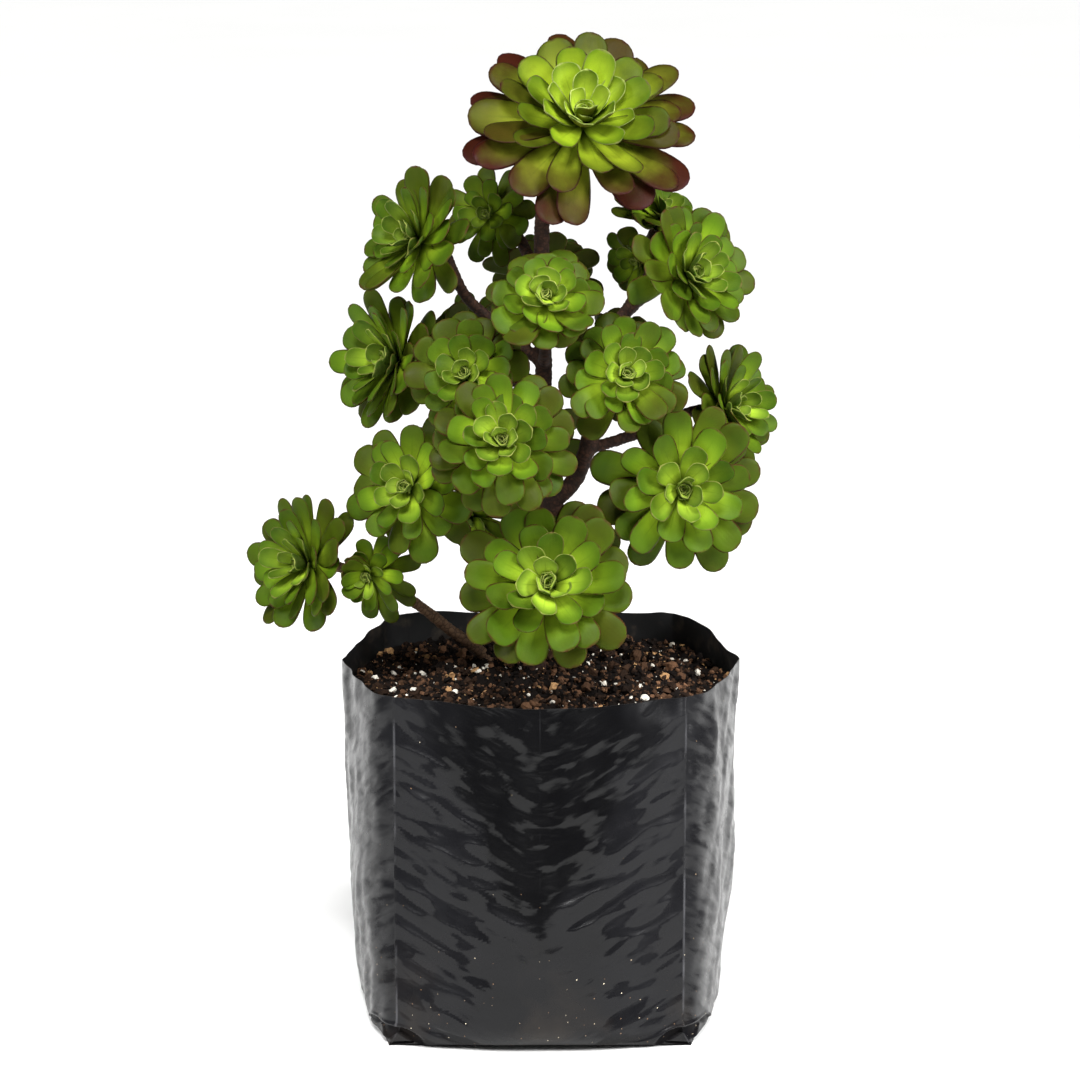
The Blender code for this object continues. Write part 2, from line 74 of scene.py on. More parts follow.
# The grow bag's plan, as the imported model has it
BAG_HEIGHT = 198 * MM
BAG_HALF_WIDTH = 110 * MM
BAG_HALF_DEPTH = 103 * MM
BASE_HALF_WIDTH = 101 * MM
BASE_HALF_DEPTH = 86 * MM
CREASE_X = 78 * MM
BASE_CREASE_X = 84 * MM
CREASE_Y = 91 * MM
SHOULDER_HEIGHT = 24 * MM
RIM_RISE = 3.5 * MM
TAPER = 0.03
BULGE = 3.6 * MM
CORNERS = ((0, -1), (1, -1), (1, 0), (1, 1), (0, 1), (-1, 1), (-1, 0), (-1, -1))

# How finely the film is drawn: its columns stand closer together towards each crease
STEPS_PER_PANEL = 48
CROWDING = 1.3
FOOT_ROW = 0.65 * MM
WALL_ROW = 1.3 * MM
LINING_ROW = WALL_ROW * 1.5
HIDDEN_ROW = 12 * MM

# The film hangs in folds that run down from each crease towards the middle of a side
FOLD_SLOPE = 0.5
FOLD_TURN = 10 * MM
FOLD_STEP = 12.5 * MM
FOLD_EDGE = 0.84
CRUMPLE_FOOT = 70 * MM
CRUMPLE_SLOPE = 1.9
LINING_INSET = 4.2 * MM

# How far apart the film's four sides lie in its patterns
SIDES_APART = 40

# The gusset turns into the broad side in a round bend, which stands out most at this reach
ROUNDING = 4.8 * MM
ROUNDING_REACH = 20 * MM

# Each side is drawn in towards its foot
TUCK = 5 * MM
TUCK_HEIGHT = 75 * MM

# The folded corners at the foot: an arch over a shallow hollow, with flat triangular folds in it.
# Each fold is given by its foot, its apex and its other foot, in mm along the film and up from
# the crease's foot, with the broad side's way as positive.
POCKET_BROAD = 20.5 * MM
POCKET_NARROW = 44 * MM
POCKET_HEIGHT = 13.8 * MM
POCKET_DEPTH = 3.6 * MM
POCKET_LIP = 1.1 * MM
POCKET_SHADE = 2.8 * MM
FLAPS = (
    ((-42, 3), (-15, 10.4), (-1.5, 0.8)),
    ((-5, 1.8), (0.5, 10), (12, 3.6)),
    ((1, 0.8), (13.5, 3), (16, 0.8)),
)

# Dents near the foot of the front: place across and up, half length and half height, in mm
DENTS = ((-60, 13, 12, 4), (61, 18, 13, 4.5))

# Drawn-out dips along the folds' way, each kind with its length and height in mm, the noise where a
# dip begins and where it is full, its seed and its weight: the film's own, and the patches that
# mirror the dark room or the pale floor
FILM_DIPS = ((30, 8, 0.1, 0.34, 3, 1), (14, 4.5, 0.12, 0.4, 11, 0.4))
DARK_DIPS = ((30, 8, 0.05, 0.32, 3, 1), (17, 5, 0.16, 0.42, 23, 0.6))
LIGHT_DIPS = ((19, 7, 0.0, 0.36, 17, 1), (11, 4, 0.08, 0.42, 27, 0.8))

# The potting mix
SOIL_EDGE = 183 * MM
SOIL_CROWN = 6 * MM
SOIL_LUMPS = 2.2 * MM
SOIL_GAP = 0.5 * MM
SOIL_TOP_RINGS = 52
SOIL_ROW = 2 * MM

# Below this height the lining leaves the film, and it and the soil's sides are drawn coarsely
LINING_FOOT = SOIL_EDGE - 16 * MM

# The wood
TRUNK_RADIUS = 5.4 * MM
LEFT_RADIUS = 3.6 * MM
BRANCH_RADIUS = 3.1 * MM
STEM_STEP = 24 * MM
BRANCH_STEP = 20 * MM
FINE_STEP = 3 * MM
APPROACH = 7 * MM
SEAT_GAP = 0.3 * MM
HEART_DEPTH = 0.1

# The leaves
GOLDEN_ANGLE = math.radians(137.508)
SEAT_DEPTH = 0.35
ROOT_WIDTH = 0.3
WIDEST = 0.78
ROUNDNESS = 2.6
LONGEST_LEAF = 1.03
FULL_AGE = 0.88
LEAF_FLOOR = SOIL_EDGE + SOIL_CROWN + 5 * MM
KEEL = 1.1 * MM
CLEAR = 0.5 * MM
WOOD_CLEAR = 0.6 * MM
BUD_LEAVES = 13
SMALL_HEAD = 30
LARGE_HEAD = 68
MORE_LEAVES = (1.12, 0.88)
NARROWING = 1.65
AGEING = 1.3
OPENING = 0.5
ROOT_DROPS = (0.28, 0.12)
FIRST_TURN = math.radians(50)
OUTLINE_PROBES = (0.45, 0.6, 0.75, 0.9, 1)
PROBES_ALONG = (0.05, 0.1, 0.15, 0.2, 0.25, 0.3, 0.4, 0.5, 0.6, 0.7, 0.8, 0.9, 1)
PROBES_ACROSS = (-1, -0.5, 0, 0.5, 1)
BENDS = range(-54, 55, 9)
SIZES = (1, 0.9, 0.8, 0.7, 0.6, 0.5)
BEND_COST = 0.01

# place is the rosette's heart in mm, heading turns it from the viewer towards +X, rise lifts it
# above level, radius is in mm, spread is the oldest leaf's angle from the axis, and broad is
# the width of an outer leaf over the radius.
Rosette = namedtuple("Rosette", "name place heading rise radius leaves spread broad")

ROSETTES = tuple(Rosette("rosette_" + name, *values) for name, *values in (
    ("top", (23, -4, 502), 10, 44, 66, 64, 93, 0.335),
    ("upper_left", (-69, -7, 438), -48, 18, 41, 44, 80, 0.36),
    ("upper_left_inner", (-29, 30, 446), -25, 10, 30, 26, 100, 0.38),
    ("upper_mid", (3, -55, 413), 2, 34, 34.5, 34, 96, 0.50),
    ("upper_right", (82, -22, 421), 38, 18, 40.5, 48, 80, 0.37),
    ("crown_back", (70, 45, 444), 40, 52, 30, 28, 95, 0.42),
    ("right_inner", (54, 30, 420), -30, -5, 25, 22, 100, 0.45),
    ("left_mid", (-82, -4, 370), -48, 14, 42, 42, 78, 0.37),
    ("mid_left", (-40, -52, 371), -12, 20, 36, 32, 94, 0.48),
    ("mid_right", (46, -55, 371), 12, 24, 38.5, 40, 92, 0.41),
    ("right_mid", (105, -3, 344), 46, 14, 37.5, 42, 78, 0.36),
    ("mid_centre", (-20, -86, 341), -2, 26, 42, 46, 91, 0.40),
    ("low_right", (77, -50, 307), 10, 10, 50, 40, 93, 0.37),
    ("low_left", (-72, -42, 306), -24, 16, 42, 36, 97, 0.39),
    ("far_left", (-131, -15, 257), -44, 12, 41.5, 42, 80, 0.35),
    ("left_small", (-95, -30, 254), -14, -4, 31, 30, 94, 0.34),
    ("front_low", (4, -80, 261), 0, 25, 51, 42, 87, 0.39),
    ("behind_low", (-39, -16, 282), -20, -22, 28, 20, 96, 0.42),
    ("back_top", (3, 58, 410), 176, 30, 36, 28, 96, 0.42),
    ("back_left", (-44, 54, 372), -148, 22, 37, 28, 96, 0.42),
    ("back_right", (50, 56, 358), 148, 20, 38, 28, 96, 0.42),
    ("back_low", (-12, 64, 312), -172, 18, 40, 30, 96, 0.42),
    ("back_foot", (8, 52, 250), 174, 22, 40, 28, 94, 0.42),
))

# The joints of the wood, in mm. A branch runs through them to the seat of the rosette that it is
# named for.
TRUNK = ((-2, -1, 120), (-2, -1, 190), (-1, -1, 240), (0, 0, 285))
CENTRE = ((0, 0, 285), (1, 5, 330), (2, 7, 365), (1, 7, 405), (1, 7, 444))
RIGHT = ((0, 0, 285), (17, 2, 298), (26, 3, 318), (30, 3, 342), (36, 5, 368), (45, 8, 392))
LEFT = ((-15, 40, 140), (-29, 30, 188), (-51, 20, 210), (-73, 10, 230), (-96, 4, 244))

BRANCHES = {
    "top": ((1, 7, 444), (4, 8, 462)),
    "upper_left": ((2, 7, 365), (-20, 13, 384), (-41, 11, 403)),
    "upper_left_inner": ((1, 7, 405), (-6, 16, 424), (-15, 30, 438)),
    "upper_mid": ((2, 7, 365), (3, -15, 380)),
    "upper_right": ((45, 8, 392), (60, 5, 408)),
    "crown_back": ((45, 8, 392), (60, 12, 414), (62, 26, 430)),
    "right_inner": ((45, 8, 392), (58, 22, 402), (64, 38, 412)),
    "left_mid": ((1, 5, 330), (-25, 9, 345), (-55, 10, 358)),
    "mid_left": ((2, 7, 350), (-12, -5, 358)),
    "mid_right": ((31, 3, 346), (36, -14, 356)),
    "right_mid": ((26, 3, 318), (55, 10, 326), (82, 12, 337)),
    "mid_centre": ((0, 2, 306), (-8, -18, 318), (-14, -42, 326)),
    "low_right": ((0, 0, 285), (28, -2, 283), (52, -12, 290)),
    "low_left": ((-1, -1, 242), (-25, -4, 252), (-43, -8, 268)),
    "left_small": ((-84, 7, 237), (-88, -4, 245)),
    "front_low": ((-2, -1, 212), (0, -20, 226), (3, -38, 236)),
    "behind_low": ((0, -1, 280), (-16, 2, 290)),
    "back_top": ((2, 7, 388), (2, 24, 394)),
    "back_left": ((2, 7, 350), (-12, 22, 358)),
    "back_right": ((30, 3, 342), (38, 20, 346)),
    "back_low": ((1, 4, 318), (-3, 22, 306)),
    "back_foot": ((-2, -1, 216), (3, 14, 228)),
}


# Colours, lengths and other settings

def linear(code):
    """An sRGB hex colour as Blender's linear colour, with full alpha."""
    values = [int(code[i:i + 2], 16) / 255 for i in (1, 3, 5)]
    return (*(v / 12.92 if v <= 0.04045 else ((v + 0.055) / 1.055) ** 2.4 for v in values), 1.0)


def colour(name, description, code):
    return FloatVectorProperty(
        name=name, description=description, default=linear(code), size=4, min=0, max=1, subtype="COLOR")


def length(name, description, millimetres):
    return FloatProperty(
        name=name, description=description, default=millimetres * MM, min=0,
        unit="LENGTH", subtype="DISTANCE")


def share(name, description, value):
    return FloatProperty(
        name=name, description=description, default=value, min=0, soft_max=1, subtype="FACTOR")


def power(name, description, watts):
    return FloatProperty(name=name, description=description, default=watts, min=0, unit="POWER")


class BagSettings(PropertyGroup):
    """The film grow bag."""
    film: length("Film", "Thickness of the film, drawn heavier than real so that it shows", 0.4)
    fold: length("Fold depth", "How far a fold of the crumpled film leans in before it turns out again", 0.4)
    dip: length("Dip depth", "How far the film dips between the lumps of soil behind it", 0.5)
    flare: length("Rim wave", "How far the loose film above the soil waves in and out", 1.7)
    film_colour: colour("Film colour", "Black polythene", "#070708")
    dust_colour: colour("Dust", "Dry soil dust that clings to the film", "#7A6A58")


class SoilSettings(PropertyGroup):
    """The potting mix and the grains in it."""
    lump: length("Lump height", "Height of the clods in the surface", 10)
    crumb: length("Largest crumb", "Radius of the largest loose crumb", 3.4)
    perlite: length("Largest perlite grain", "Radius of the largest white grain", 2.2)
    # The mix colour is near black: partly moist peat, partly painted shade for the gaps between crumbs
    mix_colour: colour("Mix", "Moist peat", "#070403")
    perlite_colour: colour("Perlite", "White expanded mineral grain", "#E9E4D8")
    chip_colour: colour("Chip", "Tan bark and grit", "#B98F5E")


class StemSettings(PropertyGroup):
    """The wood."""
    voxel: length("Voxel", "Cell that the tubes are joined in", 0.98)
    scar_depth: length("Scar depth", "Depth of the furrows between leaf scars", 0.35)
    scar_spacing: length("Scar spacing", "Distance between leaf scars round the stem", 4.6)
    bark_colour: colour("Old bark", "Dark brown wood", "#25150C")
    young_colour: colour("Young bark", "Grey-brown wood of the leaning stem", "#5A4432")


class LeafSettings(PropertyGroup):
    """The rosettes."""
    thickness: length("Leaf thickness", "Thickness of a leaf 20 mm wide", 1.9)
    tip: share("Tip point", "Length of the small point at the tip, over the leaf's length", 0.018)
    ripple: share("Unevenness", "Height of the dents in a leaf, over its width", 0.16)
    stations: IntProperty(name="Stations", description="Rings of points along a leaf", default=14, min=6)
    sides: IntProperty(name="Sides", description="Points round a leaf", default=12, min=8)


class StageSettings(PropertyGroup):
    """The floor, the lights and the camera."""
    floor_colour: colour("Floor", "Matte pale board", "#EFEFEE")
    overhead: FloatProperty(
        name="Overhead light", description="Strength of the wide light from above", default=4.5, min=0)
    key_power: power("Key light", "Power of the front softbox", 3)
    side_power: power("Side lights", "Power of a softbox of share 1", 28)
    surround: share("Surround", "Brightness of the room round the stage", 0.04)


# Small helpers for meshes, objects and nodes

def blend(start, end, part):
    return start + (end - start) * part


def smooth(low, high, value):
    """0 below low, 1 above high, and an even rise between them."""
    part = min(max((value - low) / (high - low), 0.0), 1.0)
    return part * part * (3 - 2 * part)


def mesh_of(name, points, faces):
    mesh = bpy.data.meshes.new(name)
    mesh.from_pydata([tuple(p) for p in points], [], faces)
    mesh.update()
    return mesh


def store(mesh, name, values, kind="FLOAT"):
    """Keeps a value, or a vector, for each point of the mesh."""
    attribute = mesh.attributes.new(name, kind, "POINT")
    if kind == "FLOAT":
        attribute.data.foreach_set("value", values)
    else:
        attribute.data.foreach_set("vector", [number for value in values for number in value])


def place_object(name, data):
    obj = bpy.data.objects.new(name, data)
    bpy.context.scene.collection.objects.link(obj)
    return obj


def settle(obj, slot, *nodes):
    """The piece rides with the model and stands for its CAD nodes, which it hides; slot is not used."""
    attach(obj, BODY)
    if nodes:
        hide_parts(*nodes)


def applied(obj):
    """The object's evaluated mesh takes the place of its mesh and modifiers."""
    graph = bpy.context.evaluated_depsgraph_get()
    mesh = bpy.data.meshes.new_from_object(obj.evaluated_get(graph))
    mesh.name = obj.name
    obj.modifiers.clear()
    obj.data = mesh
    return obj


def add(tree, kind, terms=(), **settings):
    """Adds a node with its settings, and sets or links its inputs in turn. None leaves one as it is."""
    node = tree.nodes.new(kind)
    for name, value in settings.items():
        setattr(node, name, value)
    for socket, term in zip([socket for socket in node.inputs if socket.enabled], terms):
        if isinstance(term, bpy.types.NodeSocket):
            tree.links.new(term, socket)
        elif term is not None:
            socket.default_value = term
    return node


# The kinds of node in a recipe, with Blender's name and the settings. Of the other kinds, those in
# capitals are operations of the Math node, and the rest are geometry nodes by Blender's name.
VECTOR = {"data_type": "FLOAT_VECTOR"}
VECTOR_ATTRIBUTES = ("flow", "bark_place")
BY_VOXEL = {"resolution_mode": "VOXEL_SIZE"}
KINDS = {
    "map": ("ShaderNodeMapRange", {}),
    "ease": ("ShaderNodeMapRange", {"interpolation_type": "SMOOTHSTEP"}),
    "mix": ("ShaderNodeMix", {"data_type": "RGBA"}),
    "noise": ("ShaderNodeTexNoise", {}),
    "cells": ("ShaderNodeTexVoronoi", {}),
    "flat cells": ("ShaderNodeTexVoronoi", {"voronoi_dimensions": "2D"}),
    "cell edges": ("ShaderNodeTexVoronoi", {"feature": "DISTANCE_TO_EDGE"}),
    "bump": ("ShaderNodeBump", {}),
    "split colour": ("ShaderNodeSeparateColor", {}),
    "split": ("ShaderNodeSeparateXYZ", {}),
    "join": ("ShaderNodeCombineXYZ", {}),
    "shift": ("ShaderNodeVectorMath", {"operation": "ADD"}),
    "stretch": ("ShaderNodeVectorMath", {"operation": "MULTIPLY"}),
    "scale": ("ShaderNodeVectorMath", {"operation": "SCALE"}),
    "unit": ("ShaderNodeVectorMath", {"operation": "NORMALIZE"}),
    "turn": ("ShaderNodeVectorRotate", {"rotation_type": "AXIS_ANGLE"}),
    "draw": ("FunctionNodeRandomValue", {}),
    "draw vector": ("FunctionNodeRandomValue", VECTOR),
    "read": ("GeometryNodeInputNamedAttribute", {}),
    "read vector": ("GeometryNodeInputNamedAttribute", VECTOR),
    "store": ("GeometryNodeStoreNamedAttribute", {}),
    "store vector": ("GeometryNodeStoreNamedAttribute", VECTOR),
    "store on each": ("GeometryNodeStoreNamedAttribute", {"domain": "INSTANCE"}),
    "MeshToVolume": ("GeometryNodeMeshToVolume", BY_VOXEL),
    "VolumeToMesh": ("GeometryNodeVolumeToMesh", BY_VOXEL),
    "BlurAttribute": ("GeometryNodeBlurAttribute", VECTOR),
    "SampleNearestSurface": ("GeometryNodeSampleNearestSurface", VECTOR),
}


def value_of(term, known):
    """A recipe's term: a text is a colour after #, itself after a colon, or else something known."""
    if not isinstance(term, str):
        return term
    if term[0] == "#":
        return linear(term)
    return term[1:] if term[0] == ":" else known[term]


def follow(tree, known, recipe):
    """Adds a node for each line of a recipe: the line's name, its kind, and what its inputs take.

    A later line takes it by that name, or takes one of its outputs by the name, a dot and the
    output's name."""
    for name, kind, *terms in recipe:
        if kind.isupper():
            node_name, settings = "ShaderNodeMath", {"operation": kind}
        else:
            node_name, settings = KINDS.get(kind, ("GeometryNode" + kind, {}))
        node = add(tree, node_name, [value_of(term, known) for term in terms], **settings)
        known.update({f"{name}.{output.name}": output for output in node.outputs})
        known[name] = next(output for output in node.outputs if output.enabled)


def new_tree(name, floats, integers, recipe):
    """A recipe as a node tree, with a mesh going in and out, named inputs and the result's material."""
    tree = bpy.data.node_groups.new(name, "GeometryNodeTree")
    tree.interface.new_socket("Geometry", in_out="OUTPUT", socket_type="NodeSocketGeometry")
    labels = {"Geometry": ("Geometry",), "Float": floats, "Int": integers, "Material": ("Material",)}
    for kind, names in labels.items():
        for label in names:
            tree.interface.new_socket(label, in_out="INPUT", socket_type="NodeSocket" + kind)
    known = {socket.name: socket for socket in tree.nodes.new("NodeGroupInput").outputs}
    follow(tree, known, recipe)
    add(tree, "NodeGroupOutput", [known[recipe[-1][0]]])
    return tree


def grown(name, mesh, tree, values):
    """A plain mesh object, made by a node tree from a mesh and the values of its named inputs."""
    obj = place_object(name, mesh)
    modifier = obj.modifiers.new(tree.name, "NODES")
    modifier.node_group = tree
    for item in tree.interface.items_tree:
        if item.in_out == "INPUT" and item.name in values:
            modifier[item.identifier] = values[item.name]
    return applied(obj)


def values_of(settings):
    return {name: getattr(settings, name) for name in settings.__annotations__}


def new_material(name, attributes, values, recipe, **constants):
    """A material from a recipe that takes a mesh's attributes and values by their names.

    The recipe's lines that are named like an input of the shader feed it, and constants are set on
    the shader itself."""
    material = bpy.data.materials.new(name)
    material.use_nodes = True
    tree = material.node_tree
    shader = tree.nodes["Principled BSDF"]
    for key, value in constants.items():
        shader.inputs[key.replace("_", " ")].default_value = value
    coordinates = add(tree, "ShaderNodeTexCoord").outputs
    known = {"place": coordinates["Object"], "facing": coordinates["Normal"], **values}
    for label in attributes:
        found = add(tree, "ShaderNodeAttribute", attribute_name=label).outputs
        known[label] = found["Vector" if label in VECTOR_ATTRIBUTES else "Fac"]
    follow(tree, known, recipe)
    for socket in shader.inputs:
        if socket.name in known:
            tree.links.new(known[socket.name], socket)
    return material


# The grow bag

def shoulder(z):
    """0 on the floor, rising fast to 1 where the bag reaches its full width."""
    return 1 - (1 - min(z / SHOULDER_HEIGHT, 1.0)) ** 3.2


def shares(panel):
    """Shares of the way along a panel, closer together towards its crease."""
    steps = [k / STEPS_PER_PANEL for k in range(STEPS_PER_PANEL)]
    if panel % 2:
        return [step ** CROWDING for step in steps]
    return [1 - (1 - step) ** CROWDING for step in steps]


def outline(z):
    """The bag's plan at a height: eight panels between corners, each a shallow arc."""
    full = shoulder(z)
    taper = blend(1 - TAPER, 1, z / BAG_HEIGHT)
    half_width = blend(BASE_HALF_WIDTH, BAG_HALF_WIDTH * taper, full)
    half_width -= TUCK * full * (1 - smooth(0, TUCK_HEIGHT, z))
    half_depth = blend(BASE_HALF_DEPTH, BAG_HALF_DEPTH, full)
    crease = (blend(BASE_CREASE_X, CREASE_X, full), blend(BASE_HALF_DEPTH, CREASE_Y, full))
    corners = []
    for sx, sy in CORNERS:
        reach = crease if sx and sy else (half_width, half_depth)
        corners.append(Vector((sx * reach[0], sy * reach[1], 0)))
    points = []
    for i, start in enumerate(corners):
        along = corners[(i + 1) % len(corners)] - start
        out = Vector((along.y, -along.x, 0)).normalized() * BULGE * full
        points += [start + along * part + out * 4 * part * (1 - part) for part in shares(i)]
    return points


# A point of the film: which side of the bag, how far across from the side's middle and the
# share of the way from there to the crease, how far from the crease, and its height.
Spot = namedtuple("Spot", "side across part from_crease z")


def spots(ring, z):
    """Where each point of a ring lies on its side of the bag."""
    found = []
    for panel in range(len(CORNERS)):
        start = ring[panel * STEPS_PER_PANEL]
        width = (ring[(panel + 1) * STEPS_PER_PANEL % len(ring)] - start).length
        way = -1 if panel % 2 else 1
        for part in shares(panel):
            part = 1 - part if panel % 2 else part
            found.append(Spot((panel + 1) // 2 % 4, way * part * width, part, (1 - part) * width, z))
    return found


def flowing(spot):
    """The spot in coordinates that run along and across the film's slanting folds."""
    return spot._replace(z=spot.z - FOLD_SLOPE * math.hypot(spot.across, FOLD_TURN))


def clouds(spot, wide, high, seed):
    """Noise between -1 and 1 over the film, in patches of a given width and height in mm."""
    return noise.noise(Vector((spot.across / (wide * MM), spot.z / (high * MM), spot.side * 7.3 + seed)))


def crumpled(spot):
    """1 in the V-shaped zone of a broad side where the film hangs in folds, 0 below it."""
    if spot.side % 2:
        return 0.0
    above = spot.z - CRUMPLE_FOOT - CRUMPLE_SLOPE * abs(spot.across)
    above += 24 * MM * clouds(spot, 26, 26, 2)
    return smooth(-18 * MM, 14 * MM, above)


def folds(spot):
    """Folds that each lean in as they rise and then turn out sharply: 0 to 1."""
    place = flowing(spot)
    phase = place.z / FOLD_STEP + 0.9 * clouds(place, 34, 50, 5) + 0.75 * clouds(place, 13, 17, 8)
    number = math.floor(phase)
    step = phase - number
    lean = step / FOLD_EDGE if step < FOLD_EDGE else (1 - step) / (1 - FOLD_EDGE)
    present = noise.noise(Vector((place.across / (17 * MM), number * 3.7, spot.side * 2.9)))
    return lean * smooth(-0.4, -0.05, present)


def dips(spot, kinds):
    """0 between drawn-out dips along the folds' way, and up to the sum of the kinds' weights in them."""
    place, deep = flowing(spot), 0.0
    for long, high, low, full, seed, weight in kinds:
        bent = place._replace(z=place.z + 5 * MM * clouds(place, 28, 28, seed))
        deep += weight * smooth(low, full, clouds(bent, long, high, seed + 1))
    return deep


def in_pocket(spot):
    """How far a spot lies below the arch of the folded corner at the foot, and the arch's share there."""
    if spot.side % 2:
        arch = max(1 - (spot.from_crease / POCKET_NARROW) ** 4, 0)
    else:
        arch = max(1 - (spot.from_crease / POCKET_BROAD) ** 2, 0) ** 0.85
    return arch * POCKET_HEIGHT - spot.z, arch


def in_flap(spot):
    """1 on the flat triangular folds in the folded corner, 0 between them."""
    along = -spot.from_crease if spot.side % 2 else spot.from_crease
    most = 0.0
    for corners in FLAPS:
        (ax, az), (bx, bz), (cx, cz) = [(x * MM, z * MM) for x, z in corners]
        rising = (bz - az) / (bx - ax) * (along - ax) + az
        falling = (cz - bz) / (cx - bx) * (along - bx) + bz
        over = spot.z - blend(az, cz, (along - ax) / (cx - ax))
        most = max(most, smooth(-0.3 * MM, 0.5 * MM, min(min(rising, falling) - spot.z, over)))
    return most


def pocket(spot):
    """How far the folded corner at the foot is drawn in under its arched lip."""
    below, arch = in_pocket(spot)
    if not arch:
        return 0.0
    depth = POCKET_DEPTH * (0.5 if spot.side % 2 else 1) * arch ** 0.5 * (1 - 0.5 * in_flap(spot))
    lip = 0.7 * MM * (1 - smooth(0, 2.2 * MM, abs(below))) * arch
    return depth * blend(0.4, 1, smooth(0, 3 * MM, spot.z)) * smooth(0, POCKET_LIP, below) - lip


def dent(spot):
    """1 in the middle of a dent near the foot of the front, 0 outside."""
    if spot.side:
        return 0.0
    deep = 0.0
    for across, up, long, high in DENTS:
        beside = spot.across / MM - across
        slant = math.copysign(0.25, across)
        aside, drop = beside / long, (spot.z / MM - up - slant * beside) / high
        deep = max(deep, 1 - math.hypot(aside, drop))
    return smooth(0, 0.7, deep)


def relief(spot, settings):
    """How far the film stands out from the bag's plan at a spot."""
    broad = spot.side % 2 == 0
    zone = crumpled(spot)
    held = smooth(0, 7 * MM, spot.from_crease)
    dusty = (1 - smooth(26 * MM, 56 * MM, abs(spot.across))) * (1 - smooth(50 * MM, 90 * MM, spot.z))
    near_rim = smooth(BAG_HEIGHT - 22 * MM, BAG_HEIGHT - 6 * MM, spot.z)
    strength = (1 - 0.85 * dusty * broad) * (1 - 0.8 * near_rim) * (1 if broad else 0.55) * (1 - 0.7 * zone)
    out = 1.0 * MM + 1.1 * MM * clouds(spot, 42, 55, 20) * held
    out -= settings.dip * strength * dips(spot, FILM_DIPS) * held
    out -= settings.fold * zone * folds(spot) * held * (1 - 0.8 * near_rim)
    if not broad:
        drape = clouds(spot._replace(across=spot.across + 0.15 * spot.z), 22, 70, 31)
        drape += 0.5 * clouds(spot._replace(across=spot.across - 0.4 * spot.z), 13, 34, 37)
        out += 1.6 * MM * drape * held
    loose = smooth(SOIL_EDGE - 8 * MM, BAG_HEIGHT, spot.z) * smooth(0, 9 * MM, spot.from_crease)
    out += settings.flare * loose * clouds(spot, 25, 40, 44)
    out += 0.2 * MM * (1 - smooth(0, 1.2 * MM, spot.from_crease))
    bend = 0 if broad else spot.from_crease / ROUNDING_REACH
    out += ROUNDING * bend * math.exp(1 - bend)
    out -= 0.6 * MM * dent(spot)
    return out * smooth(0, 5 * MM, spot.z) - pocket(spot)


def film_ring(z, settings, inset=0.0, follow=1.0):
    """A ring of points at a height and their spots; follow is how far it copies the film's relief."""
    ring = outline(z)
    places = spots(ring, z)
    hidden = LINING_INSET + POCKET_DEPTH * (1 - smooth(8 * MM, 26 * MM, z))
    moved = []
    for i, (p, spot) in enumerate(zip(ring, places)):
        edge = ring[(i + 1) % len(ring)] - ring[i - 1]
        out = Vector((edge.y, -edge.x, 0)).normalized()
        copied = relief(spot, settings) * follow if follow else 0
        lift = RIM_RISE * 0.5 * (1 - math.cos(math.pi * spot.part))
        lift += 1.3 * MM * clouds(spot._replace(z=0), 21, 1, 61) * smooth(0, 9 * MM, spot.from_crease)
        lift *= follow * (z / BAG_HEIGHT) ** 4
        point = p + out * (copied - hidden * (1 - follow) - inset)
        moved.append(Vector((point.x, point.y, z + lift)))
    return moved, places


def closed_mesh(name, rings, first_centre, last_centre):
    """A closed mesh of rings in order, with a fan of triangles over the first and over the last."""
    count = len(rings[0])
    points = [p for ring in rings for p in ring] + [first_centre, last_centre]
    faces = []
    for r in range(len(rings) - 1):
        for i in range(count):
            j = (i + 1) % count
            faces.append((r * count + i, r * count + j, (r + 1) * count + j, (r + 1) * count + i))
    last = (len(rings) - 1) * count
    faces += [(last + i, last + (i + 1) % count, len(points) - 1) for i in range(count)]
    faces += [((i + 1) % count, i, len(points) - 2) for i in range(count)]
    return mesh_of(name, points, faces)


def heights(low, high, step):
    """Even heights from low up to, but not at, high."""
    count = max(1, round((high - low) / step))
    return [blend(low, high, i / count) for i in range(count)]


def lining(z):
    """How far the lining copies the film: wholly where it shows, not at all behind the soil."""
    return smooth(LINING_FOOT, LINING_FOOT + 10 * MM, z)


def film_mesh(settings):
    """The closed film: its outside from the floor to the rim, and its inside back down to the base."""
    foot, wall = heights(0, SHOULDER_HEIGHT, FOOT_ROW), heights(SHOULDER_HEIGHT, BAG_HEIGHT, WALL_ROW)
    hidden = heights(settings.film, LINING_FOOT, HIDDEN_ROW)
    seen = heights(LINING_FOOT, BAG_HEIGHT, LINING_ROW)
    outside, inside = [*foot, *wall, BAG_HEIGHT], [*hidden, *seen, BAG_HEIGHT]
    drawn = [film_ring(z, settings) for z in outside]
    drawn += [film_ring(z, settings, settings.film, lining(z)) for z in reversed(inside)]
    rings = [ring for ring, _ in drawn]
    mesh = closed_mesh("grow_bag_film", rings, Vector((0, 0, 0)), Vector((0, 0, settings.film)))
    outer, base = (len(outside) - 1) * len(rings[0]), len(rings[0])
    sides = [0] * outer + [1] * (len(mesh.polygons) - outer - base) + [0] * base
    mesh.polygons.foreach_set("material_index", sides)
    places = [spot for _, ring_spots in drawn for spot in ring_spots] + [Spot(0, 0, 0, CREASE_X, 0)] * 2
    flows = [(spot.across, flowing(spot).z, SIDES_APART * spot.side) for spot in places]
    store(mesh, "flow", flows, "FLOAT_VECTOR")
    for measure in (from_fold, slack, haze, shaded):
        store(mesh, measure.__name__, [measure(spot) for spot in places])
    return mesh


def from_fold(spot):
    """How far a spot is from a line where the flat bag was folded: a crease, or a broad side's middle."""
    if spot.side % 2:
        return spot.from_crease
    faded = 4 * MM * (1 - smooth(60 * MM, 100 * MM, spot.z))
    return min(spot.from_crease, abs(spot.across) * 1.5 + 0.3 * MM + faded)


